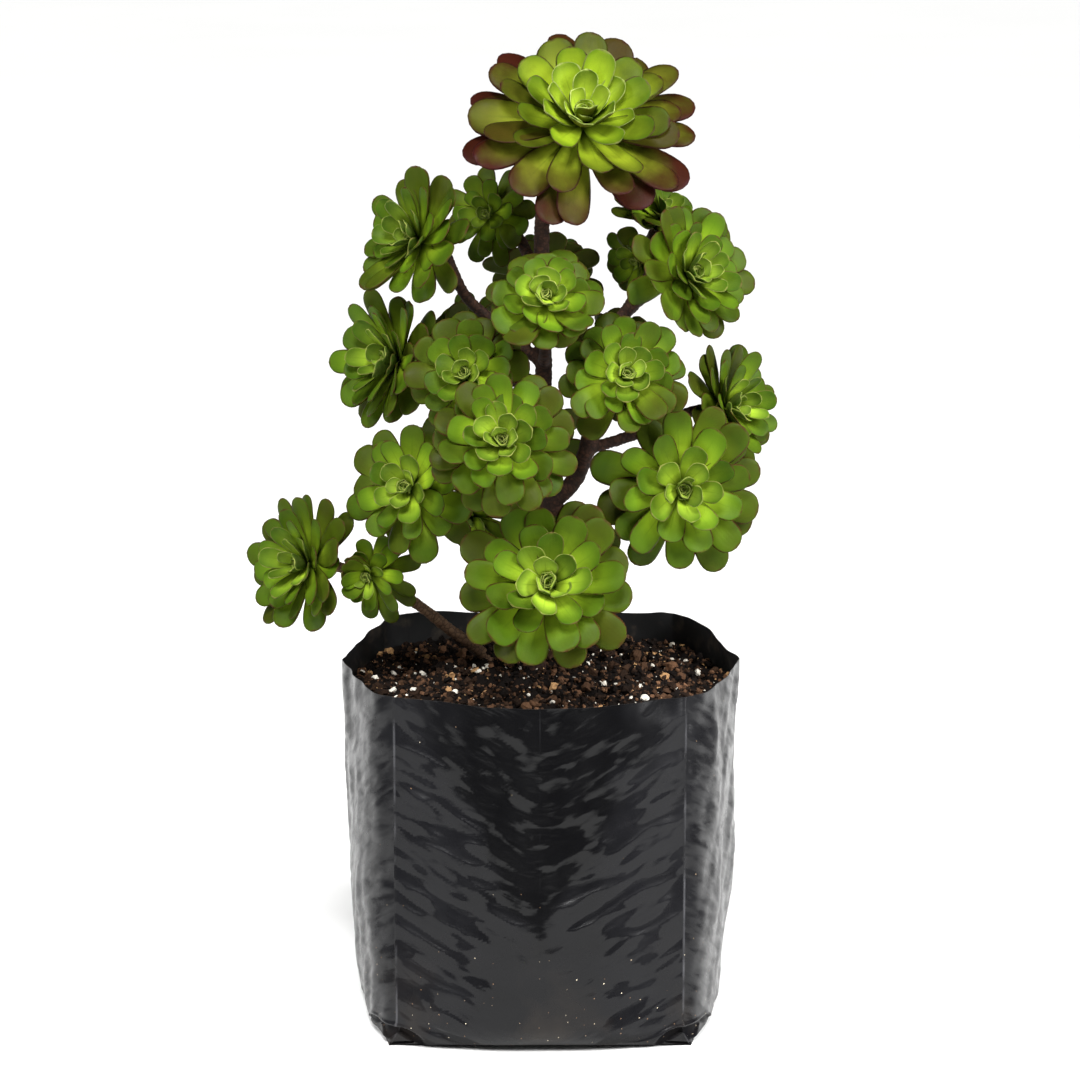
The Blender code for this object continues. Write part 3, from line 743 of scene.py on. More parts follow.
def slack(spot):
    """How readily the film leans back in patches: most where it is crumpled, least low in the middle."""
    below, arch = in_pocket(spot)
    if arch and below > 0:
        return -0.3
    if spot.side % 2:
        return 0.13
    calm = (1 - smooth(45 * MM, 85 * MM, spot.z)) * (1 - smooth(18 * MM, 46 * MM, abs(spot.across)))
    zone = crumpled(spot)
    dark, light = min(dips(spot, DARK_DIPS), 1), min(dips(spot, LIGHT_DIPS), 1)
    leaning = zone * (0.37 - 0.27 * light) + (1 - zone) * (1 - calm) * (0.6 * dark - 0.04)
    return leaning - 0.14 * calm + 0.25 * dent(spot)


def shaded(spot):
    """1 in the gaps between the folds of a folded corner and under its arched lip, 0 outside: where the
    film's mirroring is turned down as painted shade.
    """
    below, arch = in_pocket(spot)
    if not arch or below < 0:
        return 0.0
    lit = in_flap(spot) * smooth(0.7 * POCKET_SHADE, 1.1 * POCKET_SHADE, below)
    return smooth(0, 0.5 * MM, below) * (1 - lit)


def haze(spot):
    """How far the film is dulled: least where it is crumpled, most away from a side's middle."""
    sideways = smooth(15 * MM, 60 * MM, abs(spot.across))
    dulled = 0.4 + 0.45 * sideways - 0.6 * crumpled(spot) + 0.25 * clouds(spot, 20, 14, 50)
    return min(max(dulled, 0.0), 1.0)


# Low-density polythene film, blown and welded: black, glossy where folded and hazy where it is smooth
FILM_RECIPE = (
    # Painted shade: deep in the folded corners, where the folds would shade each other, the mirroring is
    # turned down
    ("Specular IOR Level", "MULTIPLY_ADD", "shaded", -0.17, 0.187),
    ("greyed", "MULTIPLY", "haze", 0.011),
    ("film", "mix", "greyed", "film_colour", "#8A8A9A"),
    # Soil dust gathers in blotches 30 mm across at the foot of the film
    ("cloud", "noise", "place", 33, 4),
    ("height", "split", "place"),
    ("low", "map", "height.Z", 0.07, 0.01, 0, 1),
    ("dusty", "map", "cloud", 0.5, 0.85, 0, 0.07),
    ("dusty", "MULTIPLY", "dusty", "low"),
    ("film", "mix", "dusty", "film", "dust_colour"),
    # Grains of soil, under 1 mm, stick to the film in a few cells of a 5 mm pattern, most near the foot
    ("cells", "flat cells", "flow", 200),
    ("grain", "split colour", "cells.Color"),
    ("size", "MULTIPLY_ADD", "grain.Green", 0.045, 0.025),
    ("speck", "LESS_THAN", "cells", "size"),
    ("few", "map", "height.Z", 0, 0.07, 0.66, 0.985),
    ("chosen", "GREATER_THAN", "grain.Red", "few"),
    ("speck", "MULTIPLY", "speck", "chosen"),
    ("pale", "POWER", "grain.Blue", 3),
    ("tint", "mix", "pale", "#6E543E", "#D8CDB4"),
    ("film", "mix", "speck", "film", "tint"),
    # A pale line under 1 mm wide down each fold, fading in and out: partly the film whitened where it was
    # folded flat, partly a painted highlight along the crease
    ("fold", "map", "from_fold", 0.0005, 0.0001, 0, 1),
    ("fading", "noise", "place", 45, 2),
    ("fading", "map", "fading", 0.42, 0.66, 0, 0.14),
    ("fold", "MULTIPLY", "fold", "fading"),
    ("Base Color", "mix", "fold", "film", "#9A9AA0"),
    ("worn", "noise", "place", 60, 3),
    ("gloss", "map", "worn", 0.3, 0.7, 0.17, 0.26),
    ("Roughness", "MULTIPLY_ADD", "haze", 0.08, "gloss"),
    # Slack film leans back in slanting patches 17 mm long and 7 mm high, so that these mirror the
    # dim room instead of the floor
    ("slanting", "stretch", "flow", (60, 140, 1)),
    ("patches", "noise", "slanting", 1, 2, 0.5, None, 0.3),
    ("regions", "stretch", "flow", (16, 34, 1)),
    ("regions", "noise", "regions", 1, 1),
    ("regions", "map", "regions", 0.3, 0.7, -0.08, 0.08),
    ("leaning", "ADD", "patches", "slack"),
    ("leaning", "ADD", "leaning", "regions"),
    ("leaning", "map", "leaning", 0.49, 0.78, -0.02, 0.34),
    # At its foot the film turns under, where a stiff fold keeps it facing outwards
    ("foot", "map", "height.Z", 0.014, 0.003, 0, 0.5),
    ("leaning", "ADD", "leaning", "foot"),
    ("back", "join", 0, 0, "leaning"),
    ("facing", "shift", "facing", "back"),
    ("facing", "unit", "facing"),
    # Fine ripples 3 mm apart follow the large folds
    ("narrow", "stretch", "flow", (110, 330, 1)),
    ("fine", "noise", "narrow", 1, 3),
    ("Normal", "bump", 0.2, 0.0008, None, "fine", "facing"),
)

# The same film inside, dulled by dry soil: nearly matte, with brown smears 10 mm wide
SOILED_FILM_RECIPE = (
    ("smear", "noise", "place", 100, 5),
    ("smear", "map", "smear", 0.52, 0.8, 0, 0.3),
    ("Base Color", "mix", "smear", "film_colour", "dust_colour"),
)


# The potting mix

def soil_height(x, y):
    """A low crown with lumps, worked out from waves of different lengths."""
    reach = min(math.hypot(x / BAG_HALF_WIDTH, y / BAG_HALF_DEPTH), 1.0)
    lumps = math.sin(x * 190 + 1.3) * math.cos(y * 170 - 0.7) + 0.6 * math.sin(x * 71 - y * 113)
    return SOIL_EDGE + SOIL_CROWN * (1 - reach ** 2) + SOIL_LUMPS * 0.5 * lumps * (1 - reach ** 4)


def clods(x, y, settings):
    """The clods of the surface, from two sizes of noise."""
    large = noise.noise(Vector((x / (12 * MM), y / (12 * MM), 2.0)))
    small = noise.noise(Vector((x / (4.5 * MM), y / (4.5 * MM), 7.0)))
    return settings.lump * (0.7 * large + 0.45 * small)


def soil_mesh(settings, bag_settings):
    """The closed body of soil inside the film, with clods on top."""
    low = bag_settings.film + SOIL_GAP
    sides = [*heights(low, LINING_FOOT, HIDDEN_ROW), *heights(LINING_FOOT, SOIL_EDGE, SOIL_ROW), SOIL_EDGE]
    rings = [[Vector((p.x, p.y, z)) for p in film_ring(z, bag_settings, low, lining(z))[0]] for z in sides]
    edge = rings[-1]
    for r in range(1, SOIL_TOP_RINGS):
        part = 1 - r / SOIL_TOP_RINGS
        places = [(p.x * part, p.y * part) for p in edge]
        rise = smooth(0, 0.06, 1 - part)
        rings.append([Vector((x, y, soil_height(x, y) + clods(x, y, settings) * rise)) for x, y in places])
    top = Vector((0, 0, soil_height(0, 0)))
    mesh = closed_mesh("potting_mix_body", rings, Vector((0, 0, low)), top)
    inner = (len(sides) + 1) * len(edge)
    opened = [float(i >= inner) for i in range(len(rings) * len(edge))] + [0.0, 1.0]
    store(mesh, "open", opened)
    return mesh


# Loose grains on a ground where it is open: lumpy balls of random size, turn and flatness
GRAIN_MEASURES = ("Density", "Smallest", "Largest", "Flatness", "Lumpiness", "Sink")
GRAIN_COUNTS = ("Detail", "Seed")
GRAIN_RECIPE = (
    ("open", "read", ":open"),
    ("chosen", "GREATER_THAN", "open", 0.99),
    ("points", "DistributePointsOnFaces", "Geometry", "chosen", "Density", "Seed"),
    # Cubing an even random number leaves many small grains and a few large ones
    ("draw", "draw", 0, 1, None, "Seed"),
    ("draw", "POWER", "draw", 3),
    ("spread", "SUBTRACT", "Largest", "Smallest"),
    ("size", "MULTIPLY_ADD", "draw", "spread", "Smallest"),
    ("points", "store", "points", None, ":size", "size"),
    ("size", "read", ":size"),
    ("ball", "MeshIcoSphere", 1, "Detail"),
    ("own", "InputPosition"),
    ("ball", "store vector", "ball", None, ":own", "own"),
    ("shape", "join", 1, 1, "Flatness"),
    ("uneven", "draw vector", (0.75, 0.7, 0.8), (1.3, 1.2, 1.1), None, 5),
    ("shape", "stretch", "shape", "uneven"),
    ("shape", "scale", "shape", "size"),
    ("turn", "draw vector", (-0.6, -0.6, 0), (0.6, 0.6, math.tau), None, 9),
    ("grains", "InstanceOnPoints", "points", None, "ball", None, None, "turn", "shape"),
    ("down", "MULTIPLY", "size", "Sink"),
    ("down", "join", 0, 0, "down"),
    ("grains", "TranslateInstances", "grains", None, "down", False),
    ("tone", "draw", 0, 1, None, 3),
    ("grains", "store on each", "grains", None, ":tone", "tone"),
    ("grains", "RealizeInstances", "grains"),
    # Lumps about as wide as a grain's radius, different on each grain, pushed along its normals
    ("own", "read vector", ":own"),
    ("tone", "read", ":tone"),
    ("apart", "scale", (50, 70, 90), "tone"),
    ("own", "shift", "own", "apart"),
    ("lump", "noise", "own", 1, 2),
    ("lump", "SUBTRACT", "lump", 0.5),
    ("lump", "MULTIPLY", "lump", "Lumpiness"),
    ("lump", "MULTIPLY", "lump", "size"),
    ("out", "InputNormal"),
    ("out", "scale", "out", "lump"),
    ("grains", "SetPosition", "grains", None, None, "out"),
    ("grains", "SetMaterial", "grains", None, "Material"),
)

# Moist peat and composted bark: dark brown crumbs, rough, mottled at 2 mm
PEAT_RECIPE = (
    ("clod", "noise", "place", 500, 6, 0.65),
    ("shade", "map", "clod", 0.35, 0.7, 0, 0.5),
    ("brown", "mix", "shade", "mix_colour", "#170E08"),
    # The ground between the crumbs has no tone of its own and stays darkest: partly the wet peat's own
    # colour, partly painted shade in the deep gaps between crumbs
    ("tone", "POWER", "tone", 3),
    ("tone", "MULTIPLY", "tone", 0.85),
    ("brown", "mix", "tone", "brown", "#6E4F39"),
    # Mineral dust: specks 0.7 mm wide, in a few cells of a 2.2 mm pattern
    ("cells", "cells", "place", 450),
    ("dot", "map", "cells", 0.2, 0.14, 0, 1),
    ("chosen", "split colour", "cells.Color"),
    ("chosen", "GREATER_THAN", "chosen.Green", 0.94),
    ("dot", "MULTIPLY", "dot", "chosen"),
    ("Base Color", "mix", "dot", "brown", "#B89468"),
    ("grain", "noise", "place", 900, 4),
    ("Normal", "bump", 0.8, 0.0008, None, "grain"),
)

# A loose mineral or bark grain: mottled at a millimetre, each grain a little lighter or darker
LOOSE_RECIPE = (
    ("mottle", "noise", "place", 900, 4),
    ("mottle", "map", "mottle", 0.35, 0.75, 0, 0.6),
    ("tone", "map", "tone", 0, 1, 0, 0.35),
    ("part", "ADD", "mottle", "tone"),
    ("Base Color", "mix", "part", "light", "dark"),
    ("Normal", "bump", 0.6, 0.0004, None, "mottle"),
)


# The wood

Tube = namedtuple("Tube", "stem route foot end")


def axis_of(rosette):
    heading, rise = math.radians(rosette.heading), math.radians(rosette.rise)
    level = math.cos(rise)
    return Vector((math.sin(heading) * level, -math.cos(heading) * level, math.sin(rise)))


def seat_of(rosette):
    """Where the stem's end meets the rosette's core."""
    depth = SEAT_DEPTH * rosette.radius * MM
    return Vector(rosette.place) * MM - axis_of(rosette) * depth


def smooth_route(joints, step):
    """Points along a Catmull-Rom curve through the joints, about a step apart."""
    points = [Vector(j) * MM for j in joints]
    ends = [2 * points[0] - points[1], *points, 2 * points[-1] - points[-2]]
    route = []
    for a, b, c, d in zip(ends, ends[1:], ends[2:], ends[3:]):
        pieces = max(1, round((c - b).length / step))
        for k in range(pieces):
            u = k / pieces
            square = 2 * a - 5 * b + 4 * c - d
            cube = 3 * b - a - 3 * c + d
            route.append(0.5 * (2 * b + (c - a) * u + square * u ** 2 + cube * u ** 3))
    return [*route, points[-1]]


def branch_route(rosette, joints, step):
    """Through the joints to the rosette's seat, arriving along the rosette's axis."""
    seat = seat_of(rosette)
    approach = seat - axis_of(rosette) * APPROACH
    ends = [tuple(p / MM for p in v) for v in (approach, seat)]
    return smooth_route([*joints, *ends], step)


def wood(stem_step, branch_step):
    """Every tube of the wood, with its stem's name, route, and radius at its foot and its end."""
    by_name = {r.name: r for r in ROSETTES}
    trunk, left = TRUNK_RADIUS, LEFT_RADIUS
    tubes = []
    for joints, foot, end in ((TRUNK, 1, 0.96), (CENTRE, 0.94, 0.8), (RIGHT, 0.96, 0.72)):
        tubes.append(Tube("main_stem", smooth_route(joints, stem_step), trunk * foot, trunk * end))
    far_left = branch_route(by_name["rosette_far_left"], LEFT, branch_step)
    tubes.append(Tube("left_stem", far_left, left, left * 0.86))
    for name, joints in BRANCHES.items():
        stem = "left_stem" if name == "left_small" else "main_stem"
        foot = BRANCH_RADIUS * (1.35 if name == "top" else 1.1)
        route = branch_route(by_name["rosette_" + name], joints, branch_step)
        tubes.append(Tube(stem, route, foot, BRANCH_RADIUS))
    return tubes


def radius_at(tube, k):
    """A tube's radius at the k-th point of its route."""
    return blend(tube.foot, tube.end, k / (len(tube.route) - 1))


def stem_mesh(name, tubes):
    """The centre lines of a stem's tubes as edges, each point with its tube's thickness there.

    A branch runs on from its seat to near the rosette's heart."""
    hearts = {}
    for r in ROSETTES:
        hearts[tuple(seat_of(r))] = Vector(r.place) * MM - axis_of(r) * HEART_DEPTH * r.radius * MM
    points, edges, thick = [], [], []
    for tube in tubes:
        route = list(tube.route)
        radii = [radius_at(tube, k) for k in range(len(route))]
        heart = hearts.get(tuple(route[-1]))
        if heart:
            route.append(heart)
            radii.append(tube.end * 0.8)
        first = len(points)
        points += route
        thick += radii
        edges += [(i, i + 1) for i in range(first, len(points) - 1)]
    mesh = bpy.data.meshes.new(name)
    mesh.from_pydata([tuple(p) for p in points], edges, [])
    store(mesh, "thick", thick)
    return mesh


# Scars are wider than high, so their pattern is stretched along the stem
SCAR_STRETCH = (1, 1, 1.9)

# Tubes swept along centre lines, joined through a volume, with leaf scars pressed into the bark
STEM_RECIPE = (
    ("line", "MeshToCurve", "Geometry"),
    ("along", "SplineParameter"),
    ("line", "store", "line", None, ":along", "along.Length"),
    ("ring", "CurvePrimitiveCircle", 20, 1),
    ("round", "InputPosition"),
    ("ring", "store vector", "ring", None, ":ring", "round"),
    ("thick", "read", ":thick"),
    ("tubes", "CurveToMesh", "line", "ring", "thick", True),
    # Each point's place on the bark: round the stem in x and y, and along it in z
    ("round", "read vector", ":ring"),
    ("round", "scale", "round", "thick"),
    ("along", "read", ":along"),
    ("along", "join", 0, 0, "along"),
    ("bark", "shift", "round", "along"),
    ("volume", "MeshToVolume", "tubes", 1, "Voxel", 0.002),
    ("wood", "VolumeToMesh", "volume", "Voxel", 0.04),
    ("soft", "InputPosition"),
    ("soft", "BlurAttribute", "soft", 3),
    ("wood", "SetPosition", "wood", None, "soft"),
    ("bark", "SampleNearestSurface", "tubes", "bark"),
    ("wood", "store vector", "wood", None, ":bark_place", "bark"),
    ("fit", "read vector", ":bark_place"),
    ("fit", "stretch", "fit", SCAR_STRETCH),
    ("count", "DIVIDE", 1, "Scar Spacing"),
    ("scars", "cell edges", "fit", "count"),
    ("furrow", "ease", "scars", 0, 0.22, -1, 0.15),
    ("knots", "noise", None, 130, 3),
    ("knots", "map", "knots", 0, 1, -0.9, 1.3),
    ("height", "ADD", "furrow", "knots"),
    ("height", "MULTIPLY", "height", "Scar Depth"),
    ("out", "InputNormal"),
    ("out", "scale", "out", "height"),
    ("wood", "SetPosition", "wood", None, None, "out"),
    ("wood", "SetShadeSmooth", "wood"),
    ("wood", "SetMaterial", "wood", None, "Material"),
)

# Corky succulent bark: matte, darker in the furrows between leaf scars 4.6 mm apart, mottled pale at 3 mm
BARK_RECIPE = (
    ("fit", "stretch", "bark_place", SCAR_STRETCH),
    ("scars", "cell edges", "fit", 217),
    ("furrow", "map", "scars", 0, 0.14, 0.75, 0),
    ("mottle", "noise", "bark_place", 300, 5, 0.6),
    ("mottle", "map", "mottle", 0.42, 0.72, 0, 0.8),
    ("pale", "mix", "mottle", "base", "light"),
    ("Base Color", "mix", "furrow", "pale", "dark"),
    ("fibre", "noise", "bark_place", 900, 4),
    ("Normal", "bump", 0.5, 0.0005, None, "fibre"),
)


# The rosettes

Leaf = namedtuple("Leaf", "turn tilt length width bend cup root age tone")
LEAF_VALUES = Leaf._fields
OWN_VALUES = ("along", "across", "face")


def frame_of(rosette):
    """The matrix from the rosette's own space, with its axis on +Z, to the world."""
    turn = axis_of(rosette).to_track_quat("Z", "Y").to_matrix().to_4x4()
    return Matrix.Translation(Vector(rosette.place) * MM) @ turn


def cell_of(rosette):
    """The planes that bound this rosette's own room, each a point and its normal away from the room."""
    here = Vector(rosette.place) * MM
    planes = [(Vector((0, 0, LEAF_FLOOR)), Vector((0, 0, -1)))]
    for other in ROSETTES:
        there = Vector(other.place) * MM
        apart = there - here
        reach = (rosette.radius + other.radius) * MM
        if other.name == rosette.name or apart.length > reach * LONGEST_LEAF:
            continue
        squares = (rosette.radius ** 2 - other.radius ** 2) * MM ** 2
        part = 0.5 + squares / (2 * apart.length_squared)
        normal = apart.normalized()
        planes.append((here + apart * part - normal * CLEAR, normal))
    return planes


def by_size(rosette, ends):
    """A value between the one for a small head and the one for a large head."""
    return blend(*ends, (rosette.radius - SMALL_HEAD) / (LARGE_HEAD - SMALL_HEAD))


def leaf_count(rosette):
    """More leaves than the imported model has, because these are finer, most of all on small heads."""
    return round(rosette.leaves * by_size(rosette, MORE_LEAVES))


def leaf_rule(rosette, index):
    """The leaf's shape from its age alone: 1 for the oldest, outermost leaf, near 0 at the heart."""
    chance = random.Random(f"{rosette.name} {index}")
    age = 1 - (index / leaf_count(rosette)) ** AGEING
    radius = rosette.radius * MM
    tilt = math.radians(rosette.spread) * age ** OPENING + math.radians(chance.uniform(-7, 7))
    reach = radius * min(age / FULL_AGE, 1) ** 0.72 * chance.uniform(0.91, LONGEST_LEAF)
    width = radius * rosette.broad * (0.34 + 0.66 * age ** 0.4) * chance.uniform(0.88, 1.1)
    return Leaf(
        turn=FIRST_TURN + index * GOLDEN_ANGLE + math.radians(chance.uniform(-8, 8)),
        tilt=tilt,
        length=reach / max(math.sin(tilt), 0.55),
        width=width,
        bend=math.radians(44 * (1 - age) ** 1.5 - 20 * age + chance.uniform(-11, 11)),
        cup=0.45 * (1 - age) ** 1.7 + 0.16 - 0.26 * age,
        root=-by_size(rosette, ROOT_DROPS) * radius * age,
        age=age,
        tone=chance.random(),
    )


def bud_leaf(rosette, number):
    """One of the small leaves that close the heart; number counts inwards from 1."""
    chance = random.Random(f"{rosette.name} bud {number}")
    part = 1 - number / (BUD_LEAVES + 1)
    radius = rosette.radius * MM
    size = radius * (0.06 + 0.15 * part) * chance.uniform(0.92, 1.06)
    return Leaf(
        turn=FIRST_TURN + (leaf_count(rosette) + number) * GOLDEN_ANGLE,
        tilt=math.radians(8 + 24 * part),
        length=size,
        width=size * 0.95,
        bend=math.radians(55),
        cup=0.55,
        root=0.0,
        age=0.04 * part,
        tone=chance.random(),
    )


def blade_half_width(s):
    """A spoon-shaped leaf's half width at a share of its length, over its widest half width."""
    rising = ROOT_WIDTH + (1 - ROOT_WIDTH) * math.sin(0.5 * math.pi * min(s / WIDEST, 1)) ** NARROWING
    closing = max((s - WIDEST) / (1 - WIDEST), 0)
    return rising * max(1 - closing ** ROUNDNESS, 0) ** (1 / ROUNDNESS)


def blade_point(leaf, s, across, lift=0.0):
    """A point of the leaf in the rosette's space: s along it, across from -1 to 1, lift off its face."""
    bend = safe_bend(leaf.bend)
    start = leaf.tilt + bend / 2
    angle = start - bend * s
    radial = leaf.length * (math.cos(angle) - math.cos(start)) / bend
    height = leaf.root + leaf.length * (math.sin(start) - math.sin(angle)) / bend
    half = 0.5 * leaf.width * blade_half_width(s)
    raised = leaf.cup * half * across ** 2 + lift
    radial += -math.cos(angle) * raised
    height += math.sin(angle) * raised
    out = Vector((math.cos(leaf.turn), math.sin(leaf.turn), 0))
    side = Vector((-math.sin(leaf.turn), math.cos(leaf.turn), 0))
    return out * radial + side * (half * across) + Vector((0, 0, height))


def safe_bend(bend):
    """The bend, kept off zero, because the blade's formula divides by it."""
    return bend if abs(bend) > 0.02 else 0.02


def from_wood(p, piece):
    """How far a point is from a straight piece of wood; the seated end of a branch is flat."""
    a, b, radius, seated = piece
    along = b - a
    part = (p - a).dot(along) / along.length_squared
    if seated and part > 1:
        return max((part - 1) * along.length, (p - a.lerp(b, part)).length - radius)
    return (p - a.lerp(b, min(max(part, 0), 1))).length - radius


def is_free(leaf, frame_matrix, planes, pieces):
    """True if the leaf stays in its rosette's room and off the wood."""
    for s in OUTLINE_PROBES:
        for across in (-1, 0, 1):
            place = frame_matrix @ blade_point(leaf, s, across)
            if any((place - point).dot(normal) > 0 for point, normal in planes):
                return False
    for s in PROBES_ALONG:
        for across in PROBES_ACROSS:
            place = frame_matrix @ blade_point(leaf, s, across, -KEEL * (1 - abs(across)))
            if any(from_wood(place, piece) < WOOD_CLEAR for piece in pieces):
                return False
    return True


def fitted(leaf, frame_matrix, planes, pieces):
    """The leaf, bent or drawn in by the least that keeps it clear, or None where there is no room."""
    tries = []
    for turn in BENDS:
        for size in SIZES:
            tries.append((abs(turn) * BEND_COST + (1 - size), turn, size))
    for _, turn, size in sorted(tries):
        tilt = leaf.tilt + math.radians(turn)
        moved = leaf._replace(tilt=tilt, length=leaf.length * size, width=leaf.width * (1 + size) / 2)
        if is_free(moved, frame_matrix, planes, pieces):
            return moved
    return None


def wood_near(rosette, tubes):
    """The wood's straight pieces within reach of a rosette: (start, end, radius, whether seated)."""
    here, seat = Vector(rosette.place) * MM, seat_of(rosette)
    near = []
    for tube in tubes:
        for k, (a, b) in enumerate(zip(tube.route, tube.route[1:])):
            piece = (a, b, radius_at(tube, k), (b - seat).length < SEAT_GAP)
            if from_wood(here, piece) < rosette.radius * LONGEST_LEAF * 1.2 * MM:
                near.append(piece)
    return near


def rosette_mesh(rosette, tubes):
    """A point for each leaf at the heart, with the leaf's values as the point's attributes."""
    matrix, planes, pieces = frame_of(rosette), cell_of(rosette), wood_near(rosette, tubes)
    leaves = [fitted(leaf_rule(rosette, i), matrix, planes, pieces) for i in range(leaf_count(rosette))]
    leaves = [leaf for leaf in leaves if leaf] + [bud_leaf(rosette, n) for n in range(1, BUD_LEAVES + 1)]
    mesh = mesh_of(rosette.name + "_leaves", [(0, 0, 0)] * len(leaves), [])
    for name in LEAF_VALUES:
        store(mesh, name, [getattr(leaf, name) for leaf in leaves])
    mesh.attributes["bend"].data.foreach_set("value", [safe_bend(leaf.bend) for leaf in leaves])
    return mesh


# The leaf's own coordinates come from a ball whose poles are the root and the tip: along is 0 at
# the root and 1 at the tip, across is -1 and 1 at the edges, and face is 1 above and -1 below. The
# leaf is a spoon-shaped blade on an arc of constant curvature, lens-shaped in section.
BLADE_MEASURES = ("Thickness", "Widest", "Root Width", "Roundness", "Tip", "Unevenness")
BLADE_COUNTS = ("Sides", "Stations")
BLADE_RECIPE = (
    ("ball", "MeshUVSphere", "Sides", "Stations"),
    ("spot", "InputPosition"),
    ("spot", "split", "spot"),
    ("along", "ADD", "spot.Z", 1),
    ("along", "MULTIPLY", "along", 0.5),
    ("along", "MAXIMUM", "along", 0),
    ("along", "SQRT", "along"),
    ("wide", "MULTIPLY", "spot.X", "spot.X"),
    ("deep", "MULTIPLY", "spot.Y", "spot.Y"),
    ("rim", "ADD", "wide", "deep"),
    ("rim", "SQRT", "rim"),
    ("rim", "MAXIMUM", "rim", 0.0001),
    ("across", "DIVIDE", "spot.X", "rim"),
    ("face", "DIVIDE", "spot.Y", "rim"),
    *(("ball", "store", "ball", None, ":" + name, name) for name in OWN_VALUES),
    ("blades", "InstanceOnPoints", "Geometry", None, "ball"),
    ("blades", "RealizeInstances", "blades"),
    *((name, "read", ":" + name) for name in (*LEAF_VALUES, *OWN_VALUES)),
    ("seed", "MULTIPLY", "tone", 90),
    ("dent", "join", "along", "across", "seed"),
    ("dent", "stretch", "dent", (2.2, 0.8, 1)),
    ("dent", "noise", "dent", 1, 1),
    # Half the width at this share of the length: a rise to the widest place, then a round end
    ("rising", "DIVIDE", "along", "Widest"),
    ("rising", "MINIMUM", "rising", 1),
    ("rising", "MULTIPLY", "rising", math.pi / 2),
    ("rising", "SINE", "rising"),
    ("rising", "POWER", "rising", NARROWING),
    ("spare", "SUBTRACT", 1, "Root Width"),
    ("rising", "MULTIPLY_ADD", "rising", "spare", "Root Width"),
    ("closing", "SUBTRACT", "along", "Widest"),
    ("round", "SUBTRACT", 1, "Widest"),
    ("closing", "DIVIDE", "closing", "round"),
    ("closing", "MAXIMUM", "closing", 0),
    ("closing", "POWER", "closing", "Roundness"),
    ("closing", "SUBTRACT", 1, "closing"),
    ("closing", "MAXIMUM", "closing", 0),
    ("less round", "DIVIDE", 1, "Roundness"),
    ("closing", "POWER", "closing", "less round"),
    ("half", "MULTIPLY", "rising", "closing"),
    ("half", "MULTIPLY", "half", "width"),
    ("half", "MULTIPLY", "half", 0.5),
    # The small point at the tip
    ("pointed", "SUBTRACT", "along", 0.965),
    ("pointed", "MAXIMUM", "pointed", 0),
    ("pointed", "MULTIPLY", "pointed", 28),
    ("pointed", "POWER", "pointed", 3),
    ("reach", "MULTIPLY_ADD", "pointed", "Tip", "along"),
    # Thickness: thinner towards the tip, with blunt edges
    ("grown", "DIVIDE", "width", 0.02),
    ("grown", "SQRT", "grown"),
    ("thick", "MULTIPLY", "Thickness", "grown"),
    ("thinning", "MULTIPLY_ADD", "along", -0.35, 1.1),
    ("thick", "MULTIPLY", "thick", "thinning"),
    ("blunt end", "POWER", "closing", 0.6),
    ("thick", "MULTIPLY", "thick", "blunt end"),
    ("blunt", "ABSOLUTE", "face"),
    ("blunt", "POWER", "blunt", 0.6),
    ("up or down", "SIGN", "face"),
    ("lift", "MULTIPLY", "blunt", "up or down"),
    ("lift", "MULTIPLY", "lift", "thick"),
    ("lift", "MULTIPLY", "lift", 0.5),
    # Edges raised by the cup, one more than the other by the twist, and dents
    ("square", "MULTIPLY", "across", "across"),
    ("cupped", "MULTIPLY", "square", "cup"),
    ("twist", "SUBTRACT", "tone", 0.5),
    ("twist", "MULTIPLY", "twist", 0.75),
    ("twist", "MULTIPLY", "twist", "across"),
    ("cupped", "ADD", "cupped", "twist"),
    ("cupped", "MULTIPLY", "cupped", "half"),
    ("dent", "SUBTRACT", "dent", 0.5),
    ("dent", "MULTIPLY", "dent", "width"),
    ("dent", "MULTIPLY", "dent", "Unevenness"),
    ("dent", "MULTIPLY", "dent", "along"),
    ("raised", "ADD", "cupped", "lift"),
    ("raised", "ADD", "raised", "dent"),
    # The arc
    ("start", "MULTIPLY_ADD", "bend", 0.5, "tilt"),
    ("angle", "MULTIPLY", "bend", "reach"),
    ("angle", "SUBTRACT", "start", "angle"),
    ("cos start", "COSINE", "start"),
    ("sin start", "SINE", "start"),
    ("cos angle", "COSINE", "angle"),
    ("sin angle", "SINE", "angle"),
    ("arc", "DIVIDE", "length", "bend"),
    ("radial", "SUBTRACT", "cos angle", "cos start"),
    ("radial", "MULTIPLY", "radial", "arc"),
    ("height", "SUBTRACT", "sin start", "sin angle"),
    ("height", "MULTIPLY_ADD", "height", "arc", "root"),
    ("inward", "MULTIPLY", "cos angle", "raised"),
    ("radial", "SUBTRACT", "radial", "inward"),
    ("height", "MULTIPLY_ADD", "sin angle", "raised", "height"),
    ("aside", "MULTIPLY", "half", "across"),
    ("flat", "join", "radial", "aside", "height"),
    ("turned", "turn", "flat", None, (0, 0, 1), "turn"),
    ("blades", "SetPosition", "blades", None, "turned"),
    ("blades", "SetShadeSmooth", "blades"),
    ("blades", "SetMaterial", "blades", None, "Material"),
)

# The greens from the heart outwards: the age at which each is reached, and its colour
LEAF_AGES = (
    (0, "#AEC854"), (0.15, "#92AE38"), (0.4, "#76961F"), (0.7, "#55740F"), (0.9, "#3A500B"), (1, "#2C3A0A"))
TOP_AGES = (
    (0, "#D4EA56"), (0.15, "#BEDA3A"), (0.35, "#A2BE24"), (0.6, "#8E9C20"), (0.85, "#706A1C"), (1, "#463810"))
